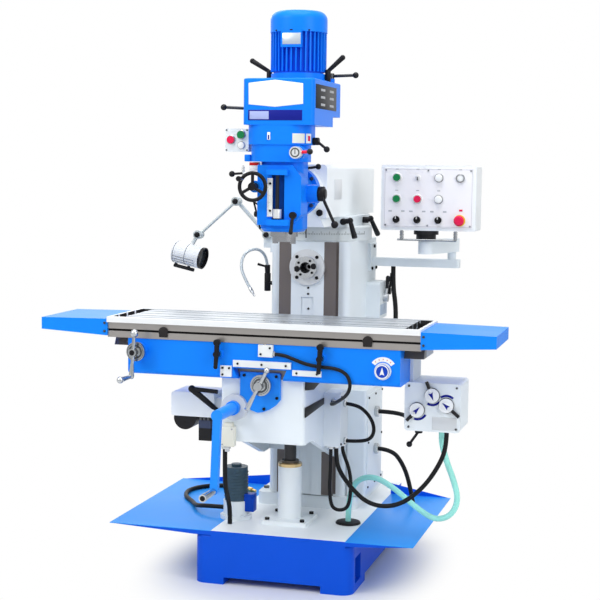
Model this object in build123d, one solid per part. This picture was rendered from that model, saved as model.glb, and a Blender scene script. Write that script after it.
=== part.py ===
from build123d import *
import math
import os

# Universal milling machine: horizontal spindle in the column, vertical head on a swivelling ram.
# Millimetres. Origin on the floor at the middle of the base, X along the table, -Y to the operator.

# Driving dimensions
BASE_HALF_X = 309
BASE_HALF_Y = 533
BASE_TOP = 187
DECK_TOP = 205
COLUMN_FACE_Y = -70
COLUMN_HALF_X = 165
COLUMN_BACK_Y = 470
COLUMN_TOP = 1285
SPINDLE_Z = 1184
KNEE_HALF_X = 159
KNEE_FRONT_Y = -670
KNEE_TOP = 818
SADDLE_X = (-506, 513)
SADDLE_Y = (-710, -400)
SADDLE_TOP = 950
TABLE_HALF_X = 585
TABLE_Y = (-725, -385)
TABLE_TOP = 1026
TURRET_Y = 200
TURRET_TOP = 1385
RAM_HALF_X = 110
RAM_TOP = 1592
HEAD_AXIS_Z = 1487
QUILL_Y = -412
QUILL_R = 52
MOTOR_Y = -240

# Fits
SLIDE_GAP = 0.3
RUN_GAP = 0.08
PIN_R = 6
PIN_IN = 14
HOLE_SPARE = 1.5
CUT = 2

UP = (Align.CENTER, Align.CENTER, Align.MIN)
OUT_FRONT = (0, -1, 0)
INTO_BACK = (0, 1, 0)
INTO_LEFT = (-1, 0, 0)
INTO_RIGHT = (1, 0, 0)
INTO_DOWN = (0, 0, -1)


def box(x, y, z, corner=0):
    """A block between spans of X, Y and Z, with its upright corners rounded."""
    centre = [(span[0] + span[1]) / 2 for span in (x, y, z)]
    sides = [span[1] - span[0] for span in (x, y, z)]
    solid = Pos(*centre) * Box(*sides)
    if corner:
        solid = fillet(solid.edges().filter_by(Axis.Z), corner)
    return solid


def rod(start, end, radius, end_radius=None):
    """A round bar, or a cone, from one point to another."""
    along = Vector(*end) - Vector(*start)
    plane = Plane(origin=start, z_dir=along)
    if end_radius is None:
        return plane * Cylinder(radius, along.length, align=UP)
    return plane * Cone(radius, end_radius, along.length, align=UP)


def ball(centre, radius):
    return Pos(*centre) * Sphere(radius)


def moved(point, direction, distance):
    """The point a distance away along a direction."""
    return tuple(p + d * distance for p, d in zip(point, direction))


def across(outline, y):
    """An (x, z) outline drawn out over a span of Y."""
    plane = Plane(origin=(0, y[1], 0), x_dir=(1, 0, 0), z_dir=OUT_FRONT)
    return extrude(plane * Polygon(*outline, align=None), y[1] - y[0], dir=OUT_FRONT)


def lengthwise(outline, x):
    """A (y, z) outline drawn out over a span of X."""
    plane = Plane(origin=(x[0], 0, 0), x_dir=(0, 1, 0), z_dir=(1, 0, 0))
    return extrude(plane * Polygon(*outline, align=None), x[1] - x[0], dir=(1, 0, 0))


def upright(outline, z):
    """An (x, y) outline drawn out over a span of Z."""
    return extrude(Pos(0, 0, z[0]) * Polygon(*outline, align=None), z[1] - z[0], dir=(0, 0, 1))


def dovetail(wide, narrow, wide_at, narrow_at, grow=0):
    """Four corners of a dovetail, wide at one level and narrow at another."""
    return [(-wide - grow, wide_at), (wide + grow, wide_at), (narrow + grow, narrow_at),
            (-narrow - grow, narrow_at)]


def pin(face, into):
    """The pivot pin that a lever or knob turns on, from its hub into the piece behind."""
    return rod(moved(face, into, -PIN_R), moved(face, into, PIN_IN), PIN_R)


def pin_hole(face, into):
    """The hole for such a pin, with running clearance."""
    return rod(moved(face, into, -CUT), moved(face, into, PIN_IN + HOLE_SPARE), PIN_R + RUN_GAP)


def ball_lever(face, into, tip, hub_r, arm_r, ball_r):
    """A hub on a face, with a round arm to a ball."""
    hub_long = 1.6 * hub_r
    hub = rod(moved(face, into, -SLIDE_GAP), moved(face, into, -SLIDE_GAP - hub_long), hub_r)
    middle = moved(face, into, -SLIDE_GAP - hub_long / 2)
    knob = Plane(origin=tip, z_dir=Vector(*tip) - Vector(*middle)) * Sphere(ball_r)
    return hub + rod(middle, tip, arm_r) + knob + pin(face, into)


def grip_lever(face, into, tip, hub_r, arm_r, grip_r, grip_share):
    """A hub on a face, with a round arm whose far end is a tapered grip."""
    hub_long = 1.2 * hub_r
    hub = rod(moved(face, into, -SLIDE_GAP), moved(face, into, -SLIDE_GAP - hub_long), hub_r)
    middle = moved(face, into, -SLIDE_GAP - hub_long / 2)
    root = tuple(t + (m - t) * grip_share for m, t in zip(middle, tip))
    grip = rod(root, tip, 0.7 * grip_r, grip_r)
    return hub + rod(middle, root, arm_r) + grip + ball(tip, grip_r) + pin(face, into)


def flat_link(start, end, width, y):
    """A flat bar with round ends in an XZ plane, over a span of Y."""
    run = (end[0] - start[0], 0, end[1] - start[1])
    length = math.hypot(run[0], run[2])
    plane = Plane(origin=(start[0], y[1], start[1]), x_dir=run, z_dir=OUT_FRONT)
    return extrude(plane * Pos(length / 2, 0) * SlotCenterToCenter(length, width), y[1] - y[0])


def cord(name, points, diameter):
    """A round cable or hose: straight runs joined by tangent arcs."""
    arc_share = 0.45
    places = [Vector(*p) for p in points]
    radii = []
    for a, b, c in zip(places, places[1:], places[2:]):
        half_turn = math.radians((b - a).get_angle(c - b)) / 2
        radii.append(arc_share * min((b - a).length, (c - b).length) / math.tan(half_turn))
    path = FilletPolyline(*points, radius=radii)
    section = Plane(origin=points[0], z_dir=places[1] - places[0]) * Circle(diameter / 2)
    tube = sweep(section, path)
    ratio = tube.volume / (math.pi * diameter ** 2 / 4 * path.length)
    print(name, "least radius", round(min(radii) / diameter, 1), "diameters, volume ratio", round(ratio, 3))
    return tube


def save(node, *solids):
    shape = solids[0] if len(solids) == 1 else Compound(children=list(solids))
    export_step(shape, "parts/" + node + ".step")


os.makedirs("parts", exist_ok=True)

# Base: an iron box open below, standing on four corner feet with a pocket for an anchor bolt in each.
FOOT_RISE = 28
ANCHOR_X = 279
ANCHOR_Y = 430
ANCHOR_R = 9
ANCHOR_POCKET = 45
ANCHOR_FLANGE = 32
ANCHOR_POCKET_TOP = 130
SCREW_Y = COLUMN_FACE_Y - 222
SCREW_R = 24
DECK_X = (-242, 282)
DRAIN_XY = (228, -260)
DRAIN_R = 40
base = box((-BASE_HALF_X, BASE_HALF_X), (-BASE_HALF_Y, BASE_HALF_Y), (0, BASE_TOP), 45)
base = fillet(base.edges().group_by(Axis.Z)[-1], 10)
base += box(DECK_X, (-BASE_HALF_Y, BASE_HALF_Y - 20), (BASE_TOP - 12, DECK_TOP))
base -= box((-215, 215), (-400, 400), (-CUT, BASE_TOP - 40))
base -= box((-190, 190), (-BASE_HALF_Y - CUT, BASE_HALF_Y + CUT), (-CUT, FOOT_RISE))
base -= box((-BASE_HALF_X - CUT, BASE_HALF_X + CUT), (-310, 310), (-CUT, FOOT_RISE))
for side in (-1, 1):
    for end in (-1, 1):
        x = side * ANCHOR_X
        y = end * ANCHOR_Y
        outer = side * (BASE_HALF_X + CUT)
        inner = side * (ANCHOR_X - 30)
        base -= box((min(inner, outer), max(inner, outer)), (y - ANCHOR_POCKET, y + ANCHOR_POCKET),
                    (ANCHOR_FLANGE, ANCHOR_POCKET_TOP))
        base -= rod((x, y, -CUT), (x, y, ANCHOR_FLANGE + CUT), ANCHOR_R)
base -= rod((0, SCREW_Y, FOOT_RISE), (0, SCREW_Y, DECK_TOP + CUT), SCREW_R + 8)
base += rod((*DRAIN_XY, DECK_TOP - CUT), (*DRAIN_XY, DECK_TOP + 8), DRAIN_R)
save("base_casting", base)

# Tray wings: folded sheet beside the deck, with a hem on the three free edges.
TRAY_Y = (-BASE_HALF_Y, 290)
TRAY_OUT_LEFT = -655
TRAY_OUT_RIGHT = 538
SHEET = 3


def tray_wing(inner, outer):
    x = (min(inner, outer), max(inner, outer))
    top = (DECK_TOP - SHEET, DECK_TOP)
    hem = (BASE_TOP, DECK_TOP - 1)
    rim = (outer, outer + SHEET) if outer < inner else (outer - SHEET, outer)
    wing = box(x, TRAY_Y, top) + box(rim, TRAY_Y, hem)
    wing += box(x, (TRAY_Y[0], TRAY_Y[0] + SHEET), hem)
    return wing + box(x, (TRAY_Y[1] - SHEET, TRAY_Y[1]), hem)


save("tray_wings", tray_wing(DECK_X[0], TRAY_OUT_LEFT), tray_wing(DECK_X[1], TRAY_OUT_RIGHT))

# Column: a hollow casting with dovetail ways on its front, bored for the horizontal spindle.
WAY_DEEP = 34
WAY_WIDE = 118
WAY_NARROW = 98
WAY_BOTTOM = 262
BODY_FRONT_Y = COLUMN_FACE_Y + WAY_DEEP
COLUMN_FOOT_TOP = 255
COLUMN_WALL = 22
COLUMN_HOLLOW_TOP = 1060
SHAFT_R = 36
COLLAR_R = 54
SEAT_R = 56
SEAT_DEEP = 60
SPIGOT_R = 60
SPIGOT_LONG = 40
column = box((-COLUMN_HALF_X, COLUMN_HALF_X), (BODY_FRONT_Y, COLUMN_BACK_Y), (DECK_TOP, COLUMN_TOP), 30)
column += box((-205, 205), (BODY_FRONT_Y - 20, COLUMN_BACK_Y + 35), (DECK_TOP, COLUMN_FOOT_TOP), 25)
column += upright(dovetail(WAY_WIDE, WAY_NARROW, COLUMN_FACE_Y, BODY_FRONT_Y + 1), (WAY_BOTTOM, COLUMN_TOP))
column -= box((-26, 26), (COLUMN_FACE_Y - CUT, COLUMN_FACE_Y + 6), (WAY_BOTTOM - CUT, SPINDLE_Z - 120))
column -= box((-COLUMN_HALF_X + COLUMN_WALL, COLUMN_HALF_X - COLUMN_WALL), (0, COLUMN_BACK_Y - COLUMN_WALL),
              (DECK_TOP - CUT, COLUMN_HOLLOW_TOP))
column -= rod((0, COLUMN_FACE_Y - CUT, SPINDLE_Z), (0, COLUMN_FACE_Y + SEAT_DEEP, SPINDLE_Z), SEAT_R)
column -= rod((0, COLUMN_FACE_Y, SPINDLE_Z), (0, 225, SPINDLE_Z), SHAFT_R + RUN_GAP)
column -= rod((0, TURRET_Y, COLUMN_TOP - SPIGOT_LONG - CUT), (0, TURRET_Y, COLUMN_TOP + CUT),
              SPIGOT_R + RUN_GAP)
save("column", column)

# Bearing flange round the spindle nose, with four counterbored screw holes.
NOSE_R = 44.44
FLANGE_R = 72
FLANGE_T = 12
FLANGE_SCREW_AT = 58
FLANGE_FRONT_Y = COLUMN_FACE_Y - FLANGE_T
spindle_flange = rod((0, COLUMN_FACE_Y, SPINDLE_Z), (0, FLANGE_FRONT_Y, SPINDLE_Z), FLANGE_R)
spindle_flange -= rod((0, COLUMN_FACE_Y + CUT, SPINDLE_Z), (0, FLANGE_FRONT_Y - CUT, SPINDLE_Z),
                      NOSE_R + RUN_GAP)
for turn in (45, 135, 225, 315):
    x = FLANGE_SCREW_AT * math.cos(math.radians(turn))
    z = SPINDLE_Z + FLANGE_SCREW_AT * math.sin(math.radians(turn))
    spindle_flange -= rod((x, FLANGE_FRONT_Y + 7, z), (x, FLANGE_FRONT_Y - CUT, z), 7)
save("spindle_flange", spindle_flange)

# Horizontal spindle: 40 taper nose with two drive keys, a collar behind the flange and a bored shaft.
NOSE_FACE_Y = COLUMN_FACE_Y - 36
SPINDLE_END_Y = 215
TAPER_MOUTH_R = 22.2
TAPER_END_R = 12.7
TAPER_DEEP = 65
DRAW_BAR_R = 9
KEY_TILT = 10
collar_back = COLUMN_FACE_Y + SEAT_DEEP - 8
spindle = rod((0, NOSE_FACE_Y, SPINDLE_Z), (0, COLUMN_FACE_Y + 1, SPINDLE_Z), NOSE_R)
spindle += rod((0, COLUMN_FACE_Y + 0.5, SPINDLE_Z), (0, collar_back, SPINDLE_Z), COLLAR_R)
spindle += rod((0, collar_back - 1, SPINDLE_Z), (0, SPINDLE_END_Y, SPINDLE_Z), SHAFT_R)
spindle -= rod((0, NOSE_FACE_Y - 0.01, SPINDLE_Z), (0, NOSE_FACE_Y + TAPER_DEEP, SPINDLE_Z),
               TAPER_MOUTH_R, TAPER_END_R)
spindle -= rod((0, NOSE_FACE_Y, SPINDLE_Z), (0, SPINDLE_END_Y + CUT, SPINDLE_Z), DRAW_BAR_R)
key = box((NOSE_R - 19, NOSE_R - 1), (NOSE_FACE_Y - 8, NOSE_FACE_Y + 1), (-8, 8))
for turn in (KEY_TILT, KEY_TILT + 180):
    spindle += Pos(0, 0, SPINDLE_Z) * Rot(0, -turn, 0) * key
save("horizontal_spindle", spindle)

# Electrical cabinet on the column's right side, with a raised cover and two cable glands.
CABINET_X = (COLUMN_HALF_X, 240)
CABINET_Y = (-30, 280)
CABINET_Z = (COLUMN_FOOT_TOP + 5, 690)
GLAND_Y = 120
GLAND_R = 17
GLAND_OUT = 22
GLAND_Z = (430, 585)
cabinet = box(CABINET_X, CABINET_Y, CABINET_Z)
cabinet = fillet(cabinet.edges().filter_by(Axis.Z).group_by(Axis.X)[-1], 10)
cabinet += box((CABINET_X[1] - 1, CABINET_X[1] + 4), (CABINET_Y[0] + 22, CABINET_Y[1] - 22),
               (CABINET_Z[0] + 22, CABINET_Z[1] - 22))
for z in GLAND_Z:
    cabinet += rod((CABINET_X[1], GLAND_Y, z), (CABINET_X[1] + GLAND_OUT, GLAND_Y, z), GLAND_R)
save("electrical_cabinet", cabinet)

# Brackets on the column: the panel's arm with its post and link, the lamp bracket and the gear shift box.
ARM_Y = (325, 375)
ARM_Z = (1170, 1205)
ARM_END_X = 545
POST_XY = (510, 350)
LINK_Z = (1238, 1293)
PANEL_PIVOT = (440, 130)
LAMP_Y = 30
LAMP_KNUCKLE = (-COLUMN_HALF_X - 30, 1305)
SHIFT_BOX_X = 225
SHIFT_PIVOT = (SHIFT_BOX_X, 335, 1035)
arm = box((COLUMN_HALF_X, COLUMN_HALF_X + 12), (300, 400), (1150, 1265))
arm += box((COLUMN_HALF_X + 10, ARM_END_X), ARM_Y, ARM_Z)
arm = fillet(arm.edges().filter_by(Axis.Z).group_by(Axis.X)[-1], 12)
arm += rod((*POST_XY, ARM_Z[1] - 1), (*POST_XY, LINK_Z[0] + 1), 18)
link_run = Vector(*PANEL_PIVOT, 0) - Vector(*POST_XY, 0)
link_plane = Plane(origin=(*POST_XY, LINK_Z[0]), x_dir=link_run, z_dir=(0, 0, 1))
link_long = link_run.length
arm += extrude(link_plane * Pos(link_long / 2, 0) * SlotCenterToCenter(link_long, 62), LINK_Z[1] - LINK_Z[0])
arm -= pin_hole((*PANEL_PIVOT, LINK_Z[1]), INTO_DOWN)
lamp_face = (LAMP_KNUCKLE[0], LAMP_Y - 12, LAMP_KNUCKLE[1])
lamp_bracket = box((-COLUMN_HALF_X - 12, -COLUMN_HALF_X), (LAMP_Y - 30, LAMP_Y + 40), (1235, 1282))
lamp_bracket += box((LAMP_KNUCKLE[0] - 16, -COLUMN_HALF_X - 8), (LAMP_Y - 12, LAMP_Y + 28), (1252, 1272))
lamp_bracket += box((LAMP_KNUCKLE[0] - 16, LAMP_KNUCKLE[0] + 16), (LAMP_Y - 12, LAMP_Y + 10),
                    (1255, LAMP_KNUCKLE[1]))
lamp_bracket += rod(lamp_face, moved(lamp_face, INTO_BACK, 22), 16)
lamp_bracket -= pin_hole(lamp_face, INTO_BACK)
shift_box = box((COLUMN_HALF_X, SHIFT_BOX_X), (260, 410), (950, 1105))
shift_box = fillet(shift_box.edges().filter_by(Axis.X), 14)
shift_box -= pin_hole(SHIFT_PIVOT, INTO_LEFT)
save("column_brackets", arm, lamp_bracket, shift_box)

# Gear shift lever with a long grip.
shift_tip = (SHIFT_BOX_X + 16, SHIFT_PIVOT[1] + 8, SHIFT_PIVOT[2] + 85)
save("shift_lever", grip_lever(SHIFT_PIVOT, INTO_LEFT, shift_tip, 17, 6, 9, 0.55))

# Pedestal of the elevating screw: a flanged tube with the nut at its top.
PEDESTAL_R = 46
PEDESTAL_TOP = 436
PEDESTAL_FOOT = 90
PEDESTAL_BOLT = 70
pedestal = box((-PEDESTAL_FOOT, PEDESTAL_FOOT), (SCREW_Y - PEDESTAL_FOOT, SCREW_Y + PEDESTAL_FOOT),
               (DECK_TOP, DECK_TOP + 16), 8)
pedestal += rod((0, SCREW_Y, DECK_TOP), (0, SCREW_Y, PEDESTAL_TOP), PEDESTAL_R)
pedestal += rod((0, SCREW_Y, PEDESTAL_TOP), (0, SCREW_Y, PEDESTAL_TOP + 12), 34)
pedestal -= rod((0, SCREW_Y, DECK_TOP - CUT), (0, SCREW_Y, PEDESTAL_TOP - 30), SCREW_R + 8)
pedestal -= rod((0, SCREW_Y, DECK_TOP), (0, SCREW_Y, PEDESTAL_TOP + 12 + CUT), SCREW_R + RUN_GAP)
for x in (-PEDESTAL_BOLT, PEDESTAL_BOLT):
    for y in (SCREW_Y - PEDESTAL_BOLT, SCREW_Y + PEDESTAL_BOLT):
        pedestal += rod((x, y, DECK_TOP + 15), (x, y, DECK_TOP + 25), 9)
save("screw_pedestal", pedestal)

# Coolant pump: a flanged foot, a short drum and an upright motor with a cap.
PUMP_XY = (-215, -305)
pump = rod((*PUMP_XY, DECK_TOP), (*PUMP_XY, DECK_TOP + 14), 62)
pump += rod((*PUMP_XY, DECK_TOP), (*PUMP_XY, DECK_TOP + 72), 50)
pump += rod((*PUMP_XY, DECK_TOP), (*PUMP_XY, DECK_TOP + 205), 45)
pump += rod((*PUMP_XY, DECK_TOP + 204), (*PUMP_XY, DECK_TOP + 215), 20)
for turn in range(45, 405, 90):
    x = PUMP_XY[0] + 56 * math.cos(math.radians(turn))
    y = PUMP_XY[1] + 56 * math.sin(math.radians(turn))
    pump += rod((x, y, DECK_TOP + 13), (x, y, DECK_TOP + 19), 5)
save("coolant_pump", pump)

# Lamp: a lower arm on the bracket, an upper arm and a cylindrical head, each on its own pin.
LAMP_ELBOW = (-322, 1439)
LAMP_WRIST = (-478, 1300)
LOWER_ARM_R = 8
UPPER_ARM_R = 6
KNUCKLE_R = 18


def lamp_arm(start, end, y, radius):
    """A round arm between two flat knuckles, in one XZ plane."""
    bar = rod((start[0], y, start[1]), (end[0], y, end[1]), radius)
    for x, z in (start, end):
        bar += rod((x, y - 10, z), (x, y + 10, z), KNUCKLE_R)
    return bar


lower_y = LAMP_Y - 12 - SLIDE_GAP - 10
upper_y = lower_y - 20 - SLIDE_GAP
head_y = upper_y - 20 - SLIDE_GAP
elbow_face = (LAMP_ELBOW[0], lower_y - 10, LAMP_ELBOW[1])
wrist_face = (LAMP_WRIST[0], upper_y - 10, LAMP_WRIST[1])
lower_arm = lamp_arm(LAMP_KNUCKLE, LAMP_ELBOW, lower_y, LOWER_ARM_R) + pin(lamp_face, INTO_BACK)
save("lamp_lower_arm", lower_arm - pin_hole(elbow_face, INTO_BACK))
upper_arm = lamp_arm(LAMP_ELBOW, LAMP_WRIST, upper_y, UPPER_ARM_R) + pin(elbow_face, INTO_BACK)
save("lamp_upper_arm", upper_arm - pin_hole(wrist_face, INTO_BACK))
LAMP_HEAD_R = 45
LAMP_WALL = 5
SHADE_DEEP = 34
lamp_from = (-572, head_y - 6, 1230)
lamp_to = (-446, head_y - 16, 1204)
lamp_axis = Vector(*lamp_to) - Vector(*lamp_from)
lamp_aim = tuple(lamp_axis.normalized())
lamp_head = rod(lamp_from, lamp_to, LAMP_HEAD_R)
lamp_head -= rod(moved(lamp_to, lamp_aim, -SHADE_DEEP), moved(lamp_to, lamp_aim, CUT),
                 LAMP_HEAD_R - LAMP_WALL)
lamp_head += rod((LAMP_WRIST[0], head_y, LAMP_WRIST[1]), (-506, head_y - 8, 1250), LOWER_ARM_R)
lamp_head += rod((LAMP_WRIST[0], head_y - 10, LAMP_WRIST[1]), (LAMP_WRIST[0], head_y + 10, LAMP_WRIST[1]),
                 KNUCKLE_R)
save("lamp_head", lamp_head + pin(wrist_face, INTO_BACK))

# Control panel: a box on a swivel foot, with a rod frame below and holes for its buttons and knobs.
PANEL_X = (262, 646)
PANEL_Y = (80, 230)
PANEL_Z = (1334, 1595)
PANEL_COLUMNS = (327, 412, 497, 583)
PANEL_ROWS = (1545, 1460, 1377)
STEM_R = 9
STEM_IN = 20
CAP_R = 14
CAP_LONG = 7
BUTTON_STAND = 6


def button(x, z, face_y):
    """A push-button cap that stands off its face, on a stem through the face."""
    cap = rod((x, face_y - BUTTON_STAND - CAP_LONG, z), (x, face_y - BUTTON_STAND, z), CAP_R)
    return cap + rod((x, face_y - BUTTON_STAND - 1, z), (x, face_y + STEM_IN, z), STEM_R)


def stem_hole(x, z, face_y):
    return rod((x, face_y - CUT, z), (x, face_y + STEM_IN + 8, z), STEM_R + RUN_GAP)


def selector(x, z, face_y):
    """A turning switch: a round base with a raised bar."""
    face = (x, face_y, z)
    front = face_y - SLIDE_GAP
    knob = rod((x, front, z), (x, front - 8, z), CAP_R)
    return knob + box((x - 4, x + 4), (front - 20, front - 7), (z - 13, z + 13)) + pin(face, INTO_BACK)


panel = box(PANEL_X, PANEL_Y, PANEL_Z)
panel = fillet(panel.edges().filter_by(Axis.Y), 8)
panel += box((PANEL_X[0] + 12, PANEL_X[1] - 12), (PANEL_Y[0] - 3, PANEL_Y[0] + 1),
             (PANEL_Z[0] + 12, PANEL_Z[1] - 12))
panel_front = PANEL_Y[0] - 3
panel += rod((*PANEL_PIVOT, LINK_Z[1] + SLIDE_GAP), (*PANEL_PIVOT, LINK_Z[1] + 25), 40)
panel += rod((*PANEL_PIVOT, LINK_Z[1] + 24), (*PANEL_PIVOT, PANEL_Z[0] + 1), 50)
panel += pin((*PANEL_PIVOT, LINK_Z[1]), INTO_DOWN)
rod_frame_y = PANEL_Y[0] + 8
rod_frame_z = 1296
for x in (348, 566):
    panel += rod((x, rod_frame_y, PANEL_Z[0] + 1), (x, rod_frame_y, rod_frame_z), 6)
panel += rod((330, rod_frame_y, rod_frame_z), (570, rod_frame_y, rod_frame_z), 4)
panel_buttons = {
    "panel_green_upper": (PANEL_COLUMNS[0], PANEL_ROWS[0]),
    "panel_green_lower": (PANEL_COLUMNS[0], PANEL_ROWS[1]),
    "panel_red_button": (PANEL_COLUMNS[1], PANEL_ROWS[1]),
}
panel_selectors = {
    "panel_selector_left": (PANEL_COLUMNS[0], PANEL_ROWS[2]),
    "panel_selector_middle": (PANEL_COLUMNS[1], PANEL_ROWS[2]),
    "panel_selector_right": (PANEL_COLUMNS[2], PANEL_ROWS[2]),
}
for node, (x, z) in panel_buttons.items():
    panel -= stem_hole(x, z, panel_front)
    save(node, button(x, z, panel_front))
for node, (x, z) in panel_selectors.items():
    panel -= pin_hole((x, panel_front, z), INTO_BACK)
    save(node, selector(x, z, panel_front))
stop_x = PANEL_COLUMNS[3]
stop_z = PANEL_ROWS[2]
panel -= stem_hole(stop_x, stop_z, panel_front)
stop = rod((stop_x, panel_front - 10, stop_z), (stop_x, panel_front + STEM_IN, stop_z), STEM_R)
stop += rod((stop_x, panel_front - 9, stop_z), (stop_x, panel_front - 20, stop_z), 14, 21)
stop += rod((stop_x, panel_front - 20, stop_z), (stop_x, panel_front - 28, stop_z), 21, 15)
save("emergency_stop", stop)
save("control_panel", panel)

# Knee: an open-bottomed box on the column's dovetail, with the cross ways on top.
KNEE_FRONT_BOTTOM = 583
KNEE_BACK_BOTTOM = 450
KNEE_WALL = 22
KNEE_ROOF = 742
CROSS_WIDE = 100
CROSS_NARROW = 82
CROSS_TOP = 858
KNEE_BACK_Y = BODY_FRONT_Y - SLIDE_GAP
KNEE_CRANK_AXIS = (-100, 712)
KNEE_BOSS_R = 48
KNEE_BOSS_FRONT = -700
CROSS_AXIS = (5, 800)
CLAMP_PIVOT = (-KNEE_HALF_X, -600, 668)
JUNCTION_X = 225
JUNCTION_Y = (-400, -280)
JUNCTION_Z = (530, 735)
knee = lengthwise([(KNEE_FRONT_Y, KNEE_FRONT_BOTTOM), (KNEE_FRONT_Y + 110, KNEE_FRONT_BOTTOM),
                   (-190, KNEE_BACK_BOTTOM), (KNEE_BACK_Y, KNEE_BACK_BOTTOM), (KNEE_BACK_Y, KNEE_TOP),
                   (KNEE_FRONT_Y, KNEE_TOP)], (-KNEE_HALF_X, KNEE_HALF_X))
knee = fillet(knee.edges().filter_by(Axis.Z).group_by(Axis.Y)[0], 14)
knee += across(dovetail(CROSS_WIDE, CROSS_NARROW, CROSS_TOP, KNEE_TOP - 1), (KNEE_FRONT_Y, -90))
knee -= box((-KNEE_HALF_X + KNEE_WALL, KNEE_HALF_X - KNEE_WALL), (KNEE_FRONT_Y + 30, -120), (300, KNEE_ROOF))
knee -= upright(dovetail(WAY_WIDE, WAY_NARROW, COLUMN_FACE_Y - SLIDE_GAP, BODY_FRONT_Y + 1, 0.45),
                (KNEE_BACK_BOTTOM - CUT, CROSS_TOP + CUT))
knee += rod((KNEE_CRANK_AXIS[0], KNEE_FRONT_Y + 1, KNEE_CRANK_AXIS[1]),
            (KNEE_CRANK_AXIS[0], KNEE_BOSS_FRONT, KNEE_CRANK_AXIS[1]), KNEE_BOSS_R)
knee += box((KNEE_HALF_X - 1, JUNCTION_X), JUNCTION_Y, JUNCTION_Z)
knee += box((-230, -KNEE_HALF_X + 1), (-520, -420), (648, 712))
knee -= pin_hole((KNEE_CRANK_AXIS[0], KNEE_BOSS_FRONT, KNEE_CRANK_AXIS[1]), INTO_BACK)
knee -= pin_hole(CLAMP_PIVOT, INTO_RIGHT)
knee -= rod((0, SCREW_Y, KNEE_ROOF - CUT), (0, SCREW_Y, KNEE_ROOF + 32), SCREW_R + RUN_GAP)
save("knee", knee)

# Elevating screw between the pedestal's nut and the knee.
save("elevating_screw", rod((0, SCREW_Y, 255), (0, SCREW_Y, KNEE_ROOF + 30), SCREW_R))

# Front plate of the knee with the boss of the cross crank.
PLATE_FRONT = KNEE_FRONT_Y - 12
CROSS_FACE_Y = PLATE_FRONT - 18
CROSS_BOSS_R = 30
PLATE_OUTLINE = [(-82, 842), (66, 842), (70, 836), (70, 745), (53, 724), (30, 708), (5, 698), (-16, 695),
                 (-42, 704), (-64, 728), (-82, 734)]
plate = across(PLATE_OUTLINE, (PLATE_FRONT, KNEE_FRONT_Y))
plate -= rod((KNEE_CRANK_AXIS[0], KNEE_FRONT_Y + CUT, KNEE_CRANK_AXIS[1]),
             (KNEE_CRANK_AXIS[0], PLATE_FRONT - CUT, KNEE_CRANK_AXIS[1]), KNEE_BOSS_R + 0.2)
plate += rod((CROSS_AXIS[0], PLATE_FRONT + 1, CROSS_AXIS[1]), (CROSS_AXIS[0], CROSS_FACE_Y, CROSS_AXIS[1]),
             CROSS_BOSS_R)
cross_face = (CROSS_AXIS[0], CROSS_FACE_Y, CROSS_AXIS[1])
save("knee_front_plate", plate - pin_hole(cross_face, INTO_BACK))

# Knee feed drive: a gearbox on the left over a drum motor and a lubricator pot, and a limit switch.
FEED_X = (-400, -230)
FEED_Y = (-540, -390)
FEED_Z = (640, 732)
feed_box = box(FEED_X, FEED_Y, FEED_Z)
feed_box = fillet(feed_box.edges().filter_by(Axis.Y), 10)
feed_motor = rod((-347, FEED_Y[0] + 4, 632), (-347, FEED_Y[1], 632), 44)
feed_motor -= box((-392, -302), (FEED_Y[0], FEED_Y[1] + CUT), (FEED_Z[0], FEED_Z[1]))
pot = box((-296, -242), (FEED_Y[0] + 10, FEED_Y[0] + 80), (548, FEED_Z[0]), 8)
knee_switch = box((-212, -KNEE_HALF_X), (-560, -512), (535, 615))
knee_switch = fillet(knee_switch.edges().filter_by(Axis.Z).group_by(Axis.X)[0], 4)
save("knee_feed_drive", feed_box, feed_motor, pot, knee_switch)

# Knee crank: a long shaft out past the saddle, a flat arm and a hollow handle, sprung out of its clutch.
KNEE_CRANK_END = (-110, 444)
ARM_BACK_Y = -868
ARM_FRONT_Y = -890
HANDLE_END_Y = -1005
SHAFT_OUT_R = 21
crank_face = (KNEE_CRANK_AXIS[0], KNEE_BOSS_FRONT, KNEE_CRANK_AXIS[1])
knee_crank = rod(moved(crank_face, OUT_FRONT, SLIDE_GAP), moved(crank_face, OUT_FRONT, 20), 26)
knee_crank += rod(moved(crank_face, OUT_FRONT, 19), (KNEE_CRANK_AXIS[0], ARM_FRONT_Y, KNEE_CRANK_AXIS[1]),
                  SHAFT_OUT_R)
knee_crank += flat_link(KNEE_CRANK_AXIS, KNEE_CRANK_END, 28, (ARM_FRONT_Y, ARM_BACK_Y))
knee_crank += rod((KNEE_CRANK_END[0], ARM_FRONT_Y + 1, KNEE_CRANK_END[1]),
                  (KNEE_CRANK_END[0], HANDLE_END_Y, KNEE_CRANK_END[1]), 11, 14)
save("knee_crank", knee_crank + pin(crank_face, INTO_BACK))


# Ball cranks: a dial, a hub, and an arm with a ball at one end and a tapered handle at the other.
def ball_crank(face, dial_r, lean, ball_reach, grip_reach):
    """The arm leans from upright by an angle in degrees, towards +X at its ball."""
    dial_end = moved(face, OUT_FRONT, 15)
    hub_end = moved(face, OUT_FRONT, 48)
    crank = rod(moved(face, OUT_FRONT, SLIDE_GAP), dial_end, dial_r)
    crank += rod(moved(dial_end, OUT_FRONT, -1), hub_end, 15)
    middle = moved(face, OUT_FRONT, 36)
    upward = (math.sin(math.radians(lean)), 0, math.cos(math.radians(lean)))
    top = moved(middle, upward, ball_reach)
    end = moved(middle, upward, -grip_reach)
    crank += rod(end, top, 6.5) + ball(top, 11)
    crank += rod(moved(middle, upward, -0.45 * grip_reach), end, 7, 10) + ball(end, 10)
    return crank + pin(face, INTO_BACK)


save("cross_crank", ball_crank(cross_face, 38, 27, 66, 92))

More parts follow.
